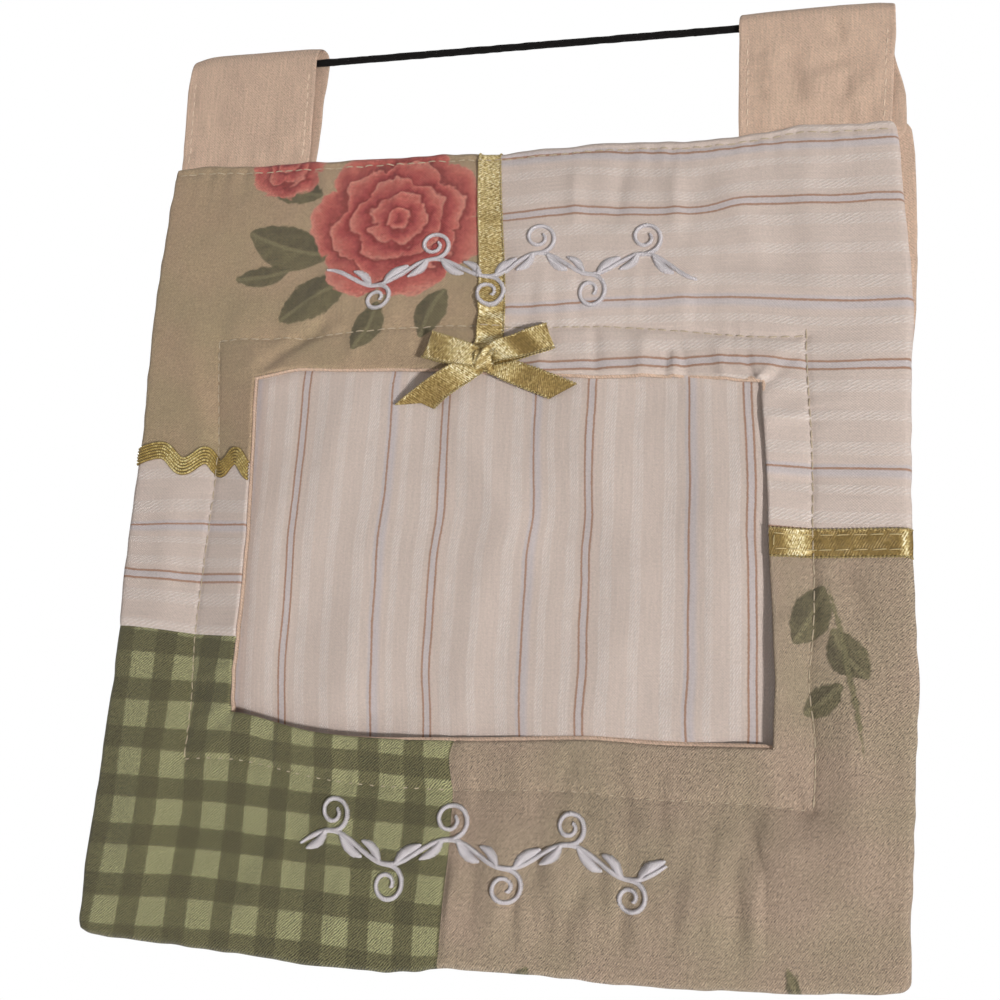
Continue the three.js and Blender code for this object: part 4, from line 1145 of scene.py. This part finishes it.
def make_tab(name, tab):
    across = fine_lines([0, TAB_W], 1.0, (0.15, 0.4, 0.8))
    ss, aa = grid(TAB_RUN, across)
    half = TAB_THIN + TAB_SWELL * rounded(np.minimum(aa, TAB_W - aa), TAB_ROUND)
    inner, outer = on_tab(tab, ss, aa, half), on_tab(tab, ss, aa, -half)
    verts, faces, flat = closed_cloth(TAB_RUN, across, inner, outer)
    flat = flat[:, ::-1] * np.array([-1, 1])
    ob = add_object(f"{name}_cloth", (verts, faces, flat), "peach", name)


for name, tab in TABS.items():
    make_tab(name, tab)

# The wavy braid's middle line: its turns, up and down, on the flat panel
BRAID_TURNS = np.array([
    (-4.0, 90.6), (6.4, 87.5), (12.4, 91.7), (18.5, 88.3), (22.7, 91.5), (27.9, 87.6), (33.8, 91.9),
])


def braid_wave(u):
    turns, levels = BRAID_TURNS.T
    phase = np.interp(np.asarray(u, float), turns, np.arange(len(turns)))
    k = np.clip(phase.astype(int), 0, len(turns) - 2)
    share = 0.5 - 0.5 * np.cos(np.pi * (phase - k))
    return levels[k] * (1 - share) + levels[k + 1] * share


# Slack folds of the upright ribbon above the bow
def ribbon_slack(u, v):
    slack = smooth(v, 44, 50) * (1 - smooth(v, WIN_T - 6, WIN_T - 1))
    return slack * 0.5 * (np.sin(TURN * (v + 0.25 * u) / 6.4) + 1)


# How far a thread is lifted where it crosses a ribbon or the braid
OVER_RIBBON, OVER_BRAID = 0.4, 0.5


def over_trims(u, v):
    reach = RIBBON_W / 2 + OVER_RIBBON
    upright = (np.abs(u - SEAM_U) < reach) & (v < WIN_T)
    level = (u > WIN_R) & (np.abs(v - RIBBON_V) < reach)
    braid = (u < WIN_L) & (np.abs(v - braid_wave(u)) < 3.2)
    ribbon = (OVER_RIBBON + ribbon_slack(u, v)) * upright + OVER_RIBBON * level
    return ribbon + OVER_BRAID * braid


# Seven places along a stitch, its height there, and its thickness as a share of the thread's
STITCH_AT = np.array([0.0, 0.1, 0.28, 0.5, 0.72, 0.9, 1.0])
STITCH_ARCH = np.array([-0.16, 0.02, 0.13, 0.16, 0.13, 0.02, -0.16])
STITCH_TAPER = np.array([0.5, 0.83, 1, 1, 1, 0.83, 0.5])
SKEW = np.linspace(-1, 1, 7)


# A row of stitches between two places on the flat panel
def stitch_lines(u0, v0, u1, v1, length, gap, seed, face=on_front):
    rng = np.random.default_rng(seed)
    total = math.hypot(u1 - u0, v1 - v0)
    cu, cv = (u1 - u0) / total, (v1 - v0) / total
    pitch = total / max(1, int(total / (length + gap)))
    lines = []
    for k in range(round(total / pitch)):
        s = (k + 0.08 * rng.uniform(-1, 1)) * pitch + (pitch - gap) * STITCH_AT
        skew = 0.12 * rng.uniform(-1, 1) * SKEW
        u, v = u0 + cu * s - cv * skew, v0 + cv * s + cu * skew
        lift = over_trims(u, v) if face is on_front else 0.0
        lines.append((u, v, STITCH_ARCH + lift))
    return lay(lines, face)


def add_stitches(name, lines, thick, material, node):
    mesh = tubes(lines, [STITCH_TAPER * thick * MM] * len(lines))
    add_object(f"{name}_thread", mesh, material, node)


def make_stitches():
    left, right, upper, lower = WIN_R + 1.5, PANEL_W - 1.0, RIBBON_V - 2.1, RIBBON_V + 1.7
    top_row = (1.8, TOP_ROW, PANEL_W - 1.8, TOP_ROW)
    rows = {
        # rows of stitches, length of a stitch, gap to the next, half the thread's width, thread
        "window_stitch_top": ([(ST_L, ST_T, ST_R, ST_T)], 2.3, 0.7, 0.18, "thread"),
        "window_stitch_bottom": ([(ST_L, ST_B, ST_R, ST_B)], 1.1, 1.9, 0.14, "thread"),
        "window_stitch_left": ([(ST_L, ST_T, ST_L, ST_B)], 2.4, 0.6, 0.15, "thread"),
        "window_stitch_right": ([(ST_R, ST_T - 1.6, ST_R, ST_B)], 2.6, 0.4, 0.18, "thread"),
        "top_edge_stitch": ([top_row], 2.3, 0.7, 0.18, "thread"),
        "ribbon_stitch_upper": (
            [(left, upper, right, upper), (left, upper + 0.3, left, lower)],
            2.6, 0.8, 0.13, "pale"),
        "ribbon_stitch_lower": ([(left, lower, right, lower)], 2.6, 0.8, 0.13, "pale"),
    }
    for seed, (name, (places, length, gap, thick, material)) in enumerate(rows.items(), 100):
        lines = [line for row in places for line in stitch_lines(*row, length, gap, seed)]
        add_stitches(name, lines, thick, material, name)
    lines = stitch_lines(*top_row, 2.3, 0.7, 120, on_back)
    add_stitches("top_edge_stitch_rear", lines, 0.18, "thread", None)


make_stitches()

# A stitch on a tab: its length, and its height and thickness at seven places
TAB_STITCH = 2.3
TAB_STITCH_ARCH = np.array([-0.2, -0.03, 0.02, 0.03, 0.02, -0.03, -0.2])
TAB_STITCH_RADII = np.array([0.1, 0.17, 0.2, 0.2, 0.2, 0.17, 0.1]) * MM


def make_tab_stitches():
    leg = len(TAB_PATH) // 2
    start, stop = np.interp([-ROD_DROP + 2.5, -6.0], TAB_PATH[:leg, 1], TAB_RUN[:leg])
    end = TAB_RUN[-1]
    places = np.r_[np.arange(start, stop, TAB_PITCH), np.arange(end - stop, end - start, TAB_PITCH)]
    for name, tab in TABS.items():
        for side, inset in (("left", TAB_ROW), ("right", TAB_W - TAB_ROW)):
            rng = np.random.default_rng(len(name) + len(side))
            lines = []
            for s in places:
                a = inset + 0.12 * rng.uniform(-1, 1) + 0.1 * SKEW
                off = TAB_THIN + TAB_SWELL + TAB_STITCH_ARCH
                lines.append(on_tab(tab, s + TAB_STITCH * np.linspace(0, 1, 7), a, off))
            node = f"{name}_stitch_{side}"
            mesh = tubes(lines, [TAB_STITCH_RADII] * len(lines))
            add_object(f"{node}_thread", mesh, "peach_thread", node)


make_tab_stitches()

# Rod: radius, depth of its rough skin, and how far the skin's pattern reaches round it
ROD_R, ROD_ROUGH, ROD_GIRTH = 1.02, 0.1, 7.5


# Rod with a rough, slightly uneven skin and blunted ends
def make_rod():
    low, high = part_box("hanging_rod")
    n, sides = 260, 20
    rough = np.random.default_rng(5).normal(0, 1, (n, sides))
    for _ in range(2):
        beside = [np.roll(rough, step, axis) for axis in (0, 1) for step in (1, -1)]
        rough = (rough + sum(beside)) / 5
    k, share = np.arange(n), np.arange(sides) / sides
    blunt = np.minimum(1.0, 0.75 + 0.25 * np.minimum(k, n - 1 - k) / 2)
    radius = (ROD_R + ROD_ROUGH * rough) * blunt[:, None] * MM
    x, share = grid(np.linspace(low[0], high[0], n), share)
    verts = np.stack([x, radius * np.cos(TURN * share), radius * np.sin(TURN * share)], -1)
    flat = np.stack([x / MM, share * ROD_GIRTH], -1)
    faces = [[face[0], *face[:0:-1]] for face in ring_faces(n, sides)]
    mesh = (verts.reshape(-1, 3), faces, flat.reshape(-1, 2))
    add_object("rod_skin", mesh, "rod", "hanging_rod", "rod")


make_rod()


# A ribbon's mesh from its two faces, with the shares across it and the run along it
def ribbon_mesh(w, run, face, under):
    n, cols = face.shape[:2]
    verts, faces, _ = closed_cloth(np.arange(n), np.arange(cols), face, under)
    flat = np.stack(np.broadcast_arrays(w * RIBBON_W / 2, run), -1).reshape(-1, 2)
    return verts, faces, np.concatenate([flat, flat])


# Small bright loops along a ribbon's woven edges: pitch, height and thickness of each
PICOT_PITCH = 0.95
PICOT_ARCH = np.array([0.02, 0.14, 0.14, 0.02]) * MM
PICOT_RADII = np.array([0.16, 0.29, 0.29, 0.16]) * MM


def picot_lines(edge, normal):
    run = run_along(edge)
    count = int(run[-1] / (PICOT_PITCH * MM))
    for k in range(count):
        s = (k + np.linspace(0.12, 0.88, 4)) * run[-1] / count
        yield along(s, run, edge) + along(s, run, normal) * PICOT_ARCH[:, None]


# A ribbon with an even painted shine, and more painted highlight in stretches of (place along,
# reach, strength) at a slant
def add_ribbon(name, node, mesh, painted_shine):
    base, spots, slant = painted_shine
    flat = mesh[2]
    place = flat[:, 1] + 0.35 * flat[:, 0] * slant
    painted_glow = base + 0 * place
    for at, reach, strength in spots:
        painted_glow = painted_glow + strength * np.exp(-np.abs((place - at) / reach) ** 3)
    add_object(name, mesh, "satin", node, painted_shine=np.clip(painted_glow, 0, 1))


def add_picots(name, face, normal):
    lines = [line for edge in (face[:, 0], face[:, -1]) for line in picot_lines(edge, normal)]
    mesh = tubes(lines, [PICOT_RADII] * len(lines), 5)
    add_object(f"{name}_edge", mesh, "picot")


def to_viewer(n):
    return np.tile(np.array([0, -1.0, 0]), (n, 1))


# How far the two faces of a flat ribbon stand off the cloth
RIBBON_TOP, RIBBON_LOW = 0.32, 0.08
# The two flat ribbons: node, ends on the flat panel, and painted shine
FLAT_RIBBONS = {
    "upright_ribbon": (
        "ribbon_upright", (SEAM_U, -0.2), (SEAM_U, WIN_T - 0.4),
        (0.46, [(5, 6, 0.3), (13, 4, 0.2), (19, 3, 0.22), (27, 3.5, 0.22), (37, 6, 0.16),
                (52.3, 1.7, 0.42), (59, 1.5, 0.45)], 1)),
    "level_ribbon": (
        "ribbon_level", (WIN_R + 0.2, RIBBON_V), (PANEL_W + 0.1, RIBBON_V),
        (0.12, [(7.4, 3.3, 0.72), (15.5, 1.2, 0.12), (21, 1.6, 0.1), (31.2, 0.8, 0.75)], 0)),
}


def make_flat_ribbon(name, node, start, end, painted_shine):
    (u0, v0), (u1, v1) = start, end
    length = math.hypot(u1 - u0, v1 - v0)
    n, cols = int(length / 0.6), 15
    run, w = np.linspace(0, length, n)[:, None], np.linspace(-1, 1, cols)
    cu, cv = (u1 - u0) / length, (v1 - v0) / length
    uu = u0 + cu * run - cv * w * RIBBON_W / 2
    vv = v0 + cv * run + cu * w * RIBBON_W / 2
    ripple = waves(uu, vv, (0.14, 3.4, 81), (0.08, 1.7, 82))
    if node == "ribbon_upright":
        ripple = ripple + ribbon_slack(uu, vv)
    base = front_height(np.clip(uu, 0, PANEL_W), np.clip(vv, 0, PANEL_H))
    top = on_front(uu, vv, RIBBON_TOP + ripple, base)
    low = on_front(uu, vv, RIBBON_LOW, base)
    add_ribbon(name, node, ribbon_mesh(w, run, low, top), painted_shine)
    add_picots(name, top, to_viewer(n))


for name, ribbon in FLAT_RIBBONS.items():
    make_flat_ribbon(name, *ribbon)

# Cords of the braid: radius, gap between their middles, where each cord's ply starts
CORD_R, CORD_GAP = 0.42, 0.84
PLY_STARTS = [0, 0.53, 0.21, 0.74, 0.37, 0.9]
# Places along the braid and how much painted shine it has there
BRAID_PAINTED_SHINE = (
    [0, 3, 6, 9, 15, 19, 21, 27, 29, 33], [0.1, 0.25, 0.6, 1.0, 0.9, 0.7, 0.1, 0.15, 0.6, 0.6])


# Wavy braid of six cords lying side by side
def make_braid():
    n, sides, cords = 300, 10, len(PLY_STARTS)
    u = np.linspace(0.3, WIN_L - 0.1, n)
    wave = braid_wave(u)
    slope = np.gradient(wave, u)
    spread = CORD_GAP * (1 + 0.4 * (np.sqrt(1 + slope ** 2) - 1)) * (1 - 0.15 * bump(u - ST_L, 1.6))
    lines = []
    for k in np.arange(cords) - (cords - 1) / 2:
        v = wave + k * spread
        height = front_height(np.clip(u, 0.6, WIN_L - 0.8), v)
        lift = 0.33 + 0.07 * (2.5 - abs(k)) - 0.3 * bump(u - ST_L, 1.2)
        lines.append(on_front(u, v, lift, height))
    mesh = tubes(lines, [np.full(n, CORD_R) * MM] * cords, sides)
    mesh[2][:, 0] += np.repeat(PLY_STARTS, n * sides) * 9
    # Painted shine along the braid: painted highlight strongest where it is high
    painted_shine = np.tile(np.repeat(np.interp(u, *BRAID_PAINTED_SHINE), sides), cords)
    add_object("wavy_braid", mesh, "braid", "rick_rack", painted_shine=painted_shine)


make_braid()

# Bow, in millimetres right, up and out from the knot's middle on the cloth
BOW_AT = on_front(np.array(SEAM_U - 0.3), np.array(WIN_T - 2.3), 0.35) / MM + np.array([0, -0.3, 0])
# Thickness of the bow's ribbon and of the knot, and shares across them
BOW_THICK, KNOT_THICK = 0.24, 0.28
BOW_W = np.linspace(-1, 1, 17)

# Loops: right, up and out along the ribbon, its side direction, half widths, and painted shine
LOOPS = {
    "bow_loop_left": (
        [(-1.0, 0.2, 2.3), (-4.0, 0.8, 2.9), (-8.5, 2.1, 2.7), (-13.0, 3.6, 2.2), (-15.8, 4.6, 1.4),
         (-15.0, 4.4, 0.8), (-11, 3.0, 0.5), (-5, 1.4, 0.5), (-1.0, 0.2, 0.7)],
        (0.36, 0.0, 0.93), [2.3, 3.0, 3.5, 3.7, 3.8, 3.7, 3.5, 3.2, 2.5],
        (0.4, [(5.0, 4.2, 0.42), (15.6, 0.7, 0.4)], -1.6)),
    "bow_loop_right": (
        [(1.2, 0.5, 2.4), (4.2, 1.5, 3.3), (8.6, 3.0, 2.2), (13.4, 4.8, 1.7), (17.2, 6.1, 1.0),
         (16.4, 5.8, 0.6), (12, 4.4, 0.5), (6, 2.2, 0.5), (1.2, 0.5, 0.7)],
        (-0.4, 0.0, 0.92), [2.1, 3.0, 3.3, 3.6, 3.7, 3.7, 3.5, 3.2, 2.5],
        (0.13, [(4.0, 3.4, 0.76), (15.2, 2.4, 0.5), (17.6, 0.5, 0.3)], 1.2)),
}
# Tails: right, up and lift off the cloth, half widths, places across and reach of the end, painted
# shine
TAILS = {
    "bow_tail_left": (
        [(-0.6, -0.8, 1.4), (-5.2, -3.3, 2.2), (-10.4, -6.5, 2.7), (-14.6, -9.0, 1.8),
         (-17.2, -10.6, 0.6)],
        [2.5, 3.3, 3.4, 3.4, 3.4], ([-1, 0, 1], [26.2, 19.8, 17.6]),
        (0.34, [(5.6, 3.0, 0.5), (10.5, 1.2, 0.14)], 1)),
    "bow_tail_right": (
        [(0.6, -0.8, 1.3), (6.5, -2.9, 0.8), (12, -5.1, 0.4), (17.0, -7.1, 0.3),
         (20.4, -8.5, 0.35)],
        [2.4, 3.0, 3.05, 3.05, 3.05], ([-1, 1], [19.6, 25.0]),
        (0.27, [(5.4, 3.6, 0.45), (13.6, 0.6, 0.14)], -1)),
}
# Knot: right, up and out along its arch, half widths, and painted shine
KNOT_ARCH = [
    (1.1, 2.8, 0.2), (1.0, 3.0, 2.0), (0.7, 2.0, 3.8), (0.4, 0.2, 4.3), (0.1, -1.4, 3.9),
    (0.0, -2.6, 2.6), (0.2, -3.0, 0.8), (0.2, -2.7, -0.2),
]
KNOT_HALF = [2.5, 2.8, 2.3, 2.9, 2.8]
KNOT_PAINTED_SHINE = (0.46, [(5.0, 1.2, 0.35), (8.2, 1.0, 0.35)], 1.5)


def bow_points(p):
    return (BOW_AT + np.stack([p[..., 0], -p[..., 2], p[..., 1]], -1)) * MM


# A smooth line of n points through the given ones
def catmull(points, n):
    p = np.asarray(points, float)
    p = np.concatenate([[2 * p[0] - p[1]], p, [2 * p[-1] - p[-2]]])
    spans = len(p) - 3
    t = np.linspace(0, spans, n)
    k = np.minimum(t.astype(int), spans - 1)
    f = (t - k)[:, None]
    a, b, c, d = (p[k + i] for i in range(4))
    cubic = (2 * a - 5 * b + 4 * c - d) * f ** 2 + (3 * b - a - 3 * c + d) * f ** 3
    return 0.5 * (2 * b + (c - a) * f + cubic)


# Values spread evenly over n places
def spread_over(values, n):
    return np.interp(np.linspace(0, 1, n), np.linspace(0, 1, len(values)), values)


# Crumples of a ribbon drawn into the knot, fading with the run from it
def knot_crumple(run, across, seed, high, reach):
    run, across = np.broadcast_arrays(run, across)
    rough = 0.3 * noise(run * 0.6, across, 1.9, seed) + 0.14 * noise(run, across, 1.0, seed + 1)
    near = high * (1 - smooth(run, 3.0, reach))
    return near * rough + 0.05 * noise(run, across, 2.6, seed + 2)


def make_loop(name, seed, points, side, half, painted_shine):
    n = 96
    line = bow_points(catmull(points, n))
    tangent = tangents(line)
    side = np.array(side) - (np.array(side) * tangent).sum(1)[:, None] * tangent
    side = unit(side)
    normal = np.cross(tangent, side)
    run = run_along(line)[:, None] / MM
    half = spread_over(half, n) * MM
    mid = line[:, None] + side[:, None] * (BOW_W * half[:, None])[..., None]
    crumple = knot_crumple(run, BOW_W * RIBBON_W / 2, seed, 1.0, 10.0)
    mid = mid + normal[:, None] * (crumple * MM)[..., None]
    body = normal[:, None] * (BOW_THICK / 2 * MM)
    add_ribbon(f"{name}_ribbon", name, ribbon_mesh(BOW_W, run, mid + body, mid - body), painted_shine)
    add_picots(f"{name}_ribbon", mid, normal * np.where(normal[:, 1] < 0, 1, -1)[:, None])


# Depth of the cloth under a tail: the front's, easing down to the backing inside the window
def tail_bed(u, v):
    inside = -box_gap(u, v, *WINDOW)
    front = -(FRONT + front_height(u, np.minimum(v, WIN_T - 1.2)))
    return front + (BACKING_Y - backing_rise(u, v) - front) * smooth(inside, 0.5, 10.0)


def make_tail(name, seed, points, half, ends, painted_shine):
    n = 70
    line = catmull(points, n)
    tangent = tangents(line[:, :2])
    side = np.c_[-tangent[:, 1], tangent[:, 0]]
    run = run_along(line[:, :2])
    cut = (np.interp(BOW_W, *ends) - run[-1]) * smooth(run / run[-1], 0.4, 1.0)[:, None]
    across = (BOW_W * spread_over(half, n)[:, None])[..., None]
    place = line[:, None, :2] + side[:, None] * across + tangent[:, None] * cut[..., None]
    x, z = BOW_AT[0] + place[..., 0], BOW_AT[2] + place[..., 1]
    u, v = x + PANEL_W / 2, -ROD_DROP - z
    shift = shift_at(u, v)
    run = run[:, None] + cut
    depth = tail_bed(u - shift[..., 0], v - shift[..., 1]) - line[:, 2:] - 0.1
    depth = depth - knot_crumple(run, BOW_W * RIBBON_W / 2, seed, 0.8, 12.0)
    half_thick = BOW_THICK / 2
    top, low = (np.stack([x, depth + d, z], -1) * MM for d in (-half_thick, half_thick))
    add_ribbon(f"{name}_ribbon", name, ribbon_mesh(BOW_W, run, top, low), painted_shine)
    add_picots(f"{name}_ribbon", top, to_viewer(n))


# Knot: a short length of ribbon wrapped over the loops, crumpled and drawn in
def make_knot():
    n = 40
    arch = catmull(KNOT_ARCH, n)
    share = np.linspace(0, 1, n)[:, None]
    half = spread_over(KNOT_HALF, n)
    tangent = tangents(arch)
    out = np.c_[0 * share, -tangent[:, 2], tangent[:, 1]]
    out *= np.where(out[:, 2].sum() < 0, -1, 1)
    ss, ww = np.broadcast_arrays(share * 10, BOW_W * half.max())
    crumple = waves(ss, ww, (0.5, 2.2, 96), (0.26, 1.2, 97))
    crumple = crumple + 0.3 * np.sin(2.1 * ww + 0.7 * ss) - 0.45 * BOW_W ** 2
    across = np.stack([BOW_W * half[:, None], 0 * ww + 0.15 * BOW_W, 0 * ww], -1)
    mid = arch[:, None] + across + out[:, None] * crumple[..., None]
    mid[..., 0] += 0.105 * mid[..., 1]
    body = out[:, None] * (KNOT_THICK / 2)
    mesh = ribbon_mesh(BOW_W, share * 12, bow_points(mid + body), bow_points(mid - body))
    add_ribbon("bow_knot_wrap", "bow_knot", mesh, KNOT_PAINTED_SHINE)


for k, (name, loop) in enumerate(LOOPS.items()):
    make_loop(name, 110 + 5 * k, *loop)
for k, (name, tail) in enumerate(TAILS.items()):
    make_tail(name, 130 + 5 * k, *tail)
make_knot()

# A strand of satin stitch: its height and thickness at seven places across
STRAND_ARCH = np.array([-0.25, 0.35, 0.75, 0.9, 0.75, 0.35, -0.25])
STRAND_RADII = np.array([0.12, 0.23, 0.26, 0.26, 0.26, 0.23, 0.12]) * MM


# Satin stitch: strands side by side across a middle line
def satin_band(centre, half, lift, pitch, slant, rng):
    run = run_along(centre)
    lines = []
    for s in np.arange(0, run[-1], pitch):
        s = min(max(s + 0.06 * rng.uniform(-1, 1), 0), run[-1])
        t = unit(along(s + 0.3, run, centre) - along(s - 0.3, run, centre))
        h = float(np.interp(s, run, half)) * (1 + 0.07 * rng.uniform(-1, 1))
        across = unit(np.array([-t[1], t[0]]) + slant * t)
        u, v = (along(s, run, centre) + SKEW[:, None] * across * h).T
        rise = STRAND_ARCH * lift * (0.4 + 0.6 * min(1.0, h / 0.8))
        lines.append((u, v, 0.05 + rise + over_trims(u, v)))
    return lines


# A running vine: length and height of its waves, half width of its stem
VINE_WAVE, VINE_SWING, VINE_HALF = 30.0, 3.2, 0.68
# Lift, pitch and slant of the strands in the stem, curls and leaves
STEM_STRANDS, CURL_STRANDS, LEAF_STRANDS = (0.6, 0.42, 0.6), (0.62, 0.42, 0.6), (0.7, 0.4, 0.75)
# Two leaves at each turn: place along, angle, length, half width
VINE_LEAVES = ((2.2, 38, 7.6, 1.5), (-2.0, 136, 6.6, 1.3))


# A running vine of curls and leaves, worked in satin stitch
def make_sprig(name, node, middle, drop, length, mirror, seed):
    rng = np.random.default_rng(seed)
    end = length / 2

    def height(s):
        return mirror * VINE_SWING * np.sin(TURN * s / VINE_WAVE)

    def stem(s):
        return np.stack([middle + s, drop - height(s)], -1)

    s = np.linspace(-end, end, 200)
    half = VINE_HALF * (0.45 + 0.55 * np.minimum(1, (end - np.abs(s)) / 3))
    lines = satin_band(stem(s), half, *STEM_STRANDS, rng)
    first = -math.floor(length / VINE_WAVE) * VINE_WAVE / 2 - VINE_WAVE / 4
    for at in np.arange(first, end - 2, VINE_WAVE / 2):
        if at < -end + 2:
            continue
        root, out = stem(at), (1 if height(at) > 0 else -1)
        size = 4.5 + 0.5 * rng.uniform(-1, 1)
        t = np.linspace(0, 1, 60)
        turn = math.pi * (-0.5 + 2.75 * t)
        radius = size * (1 - 0.72 * t)
        curl = root + np.c_[radius * np.cos(turn), -out * (size + radius * np.sin(turn))]
        lines += satin_band(curl, VINE_HALF * (1.05 - 0.3 * t), *CURL_STRANDS, rng)
        for shift, angle, long, wide in VINE_LEAVES:
            cos, sin = math.cos(math.radians(angle)), math.sin(math.radians(angle))
            t = np.linspace(0, 1, 26)
            bend = 0.8 * np.sin(np.pi * t) * (1 if angle < 90 else -1)
            leaf = np.c_[cos * long * t - sin * bend, out * (sin * long * t + cos * bend)]
            half = 0.22 + wide * np.sin(np.pi * np.clip(0.05 + 0.95 * t, 0, 1)) ** 0.85
            lines += satin_band(stem(at + shift) + leaf, half, *LEAF_STRANDS, rng)
    mesh = tubes(lay(lines, on_front), [STRAND_RADII] * len(lines), 5)
    add_object(name, mesh, "white", node)


make_sprig("sprig_upper", "embroidery_upper", middle=103.0, drop=38.0, length=104.0,
           mirror=1, seed=91)
make_sprig("sprig_lower", "embroidery_lower", middle=104.0, drop=188.0, length=92.0,
           mirror=-1, seed=92)

# Floor and light, in metres: the floor's level, reach and lines, and the light from all around
FLOOR_Z, FLOOR_HALF, FLOOR_LINES = -0.95, 3.0, 24
AMBIENT = 0.16
MIDDLE = (0.0, 0.0, -0.13)


# A pale floor that looks white to the camera
def make_floor():
    t = np.linspace(-FLOOR_HALF, FLOOR_HALF, FLOOR_LINES)
    n = len(t)
    cells = [i * n + j for i in range(n - 1) for j in range(n - 1)]
    mesh = bpy.data.meshes.new("floor")
    mesh.from_pydata(
        [(x, y, FLOOR_Z) for x in t for y in t], [], [(k, k + n, k + n + 1, k + 1) for k in cells])
    floor = bpy.data.objects.new("floor", mesh)
    bpy.context.scene.collection.objects.link(floor)
    net = new_material("pale_floor")
    shader = net.nodes["Principled BSDF"]
    net.link((0.9, 0.9, 0.9, 1), shader.inputs["Base Color"])
    net.link(0.9, shader.inputs["Roughness"])
    ray = net.node("ShaderNodeLightPath")
    seen = net.math("MAXIMUM", ray.other("Is Camera Ray"), ray.other("Is Glossy Ray"))
    blend = net.node("ShaderNodeMixShader", {
        0: seen * 0.85, 1: Value(net, shader.outputs[0]), 2: net.node("ShaderNodeEmission"),
    })
    net.link(blend, net.nodes["Material Output"].inputs["Surface"])
    mesh.materials.append(net.owner)
    floor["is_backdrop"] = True


# White surroundings where they are seen or mirrored, and a dim light elsewhere
def make_world():
    world = bpy.data.worlds.new("studio")
    bpy.context.scene.world = world
    net = Net(world)
    ray = net.node("ShaderNodeLightPath")
    seen = net.math("MAXIMUM", ray.other("Is Camera Ray"), ray.other("Is Transmission Ray"))
    seen = net.math("MAXIMUM", seen, ray.other("Is Glossy Ray"))
    strength = net.node("ShaderNodeMapRange", {"Value": seen, "To Min": AMBIENT, "To Max": 1.0})
    back = net.nodes["Background"]
    net.link(strength, back.inputs["Strength"])
    net.link((1, 1, 1, 1), back.inputs["Color"])


def add_lamp(name, at, size, power, colour=(1, 1, 1)):
    data = bpy.data.lights.new(name, "AREA")
    data.shape = "DISK"
    data.size = size
    data.energy = power
    data.color = colour
    lamp = bpy.data.objects.new(name, data)
    lamp.location = at
    lamp.rotation_euler = (Vector(MIDDLE) - Vector(at)).to_track_quat("-Z", "Y").to_euler()
    bpy.context.scene.collection.objects.link(lamp)


make_floor()
make_world()
add_lamp("key", (1.37, -1.365, -0.85), size=0.2, power=31, colour=(1.0, 0.99, 0.98))
add_lamp("fill", (-0.9, -1.5, 0.2), size=1.2, power=2.4, colour=(1.0, 0.92, 0.86))
add_lamp("rear", (-1.3, 1.25, 0.45), size=0.4, power=26)

camera = bpy.data.cameras.new("camera")
camera.sensor_fit = "HORIZONTAL"
camera.sensor_width = 36.0
camera.lens = 51.246
camera.clip_start = 0.01
view = bpy.data.objects.new("camera", camera)
view.location = (0.089328, -0.347810, -0.227462)
view.rotation_euler = Euler([math.radians(a) for a in (104.6963, -3.2353, 13.3357)], "XYZ")
bpy.context.scene.collection.objects.link(view)
bpy.context.scene.camera = view
bpy.context.scene.view_settings.view_transform = "Standard"

plain = lambda box: [[float(x) for x in corner] for corner in box]
{"cad": plain(CAD_BOX), "visual": plain(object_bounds())}
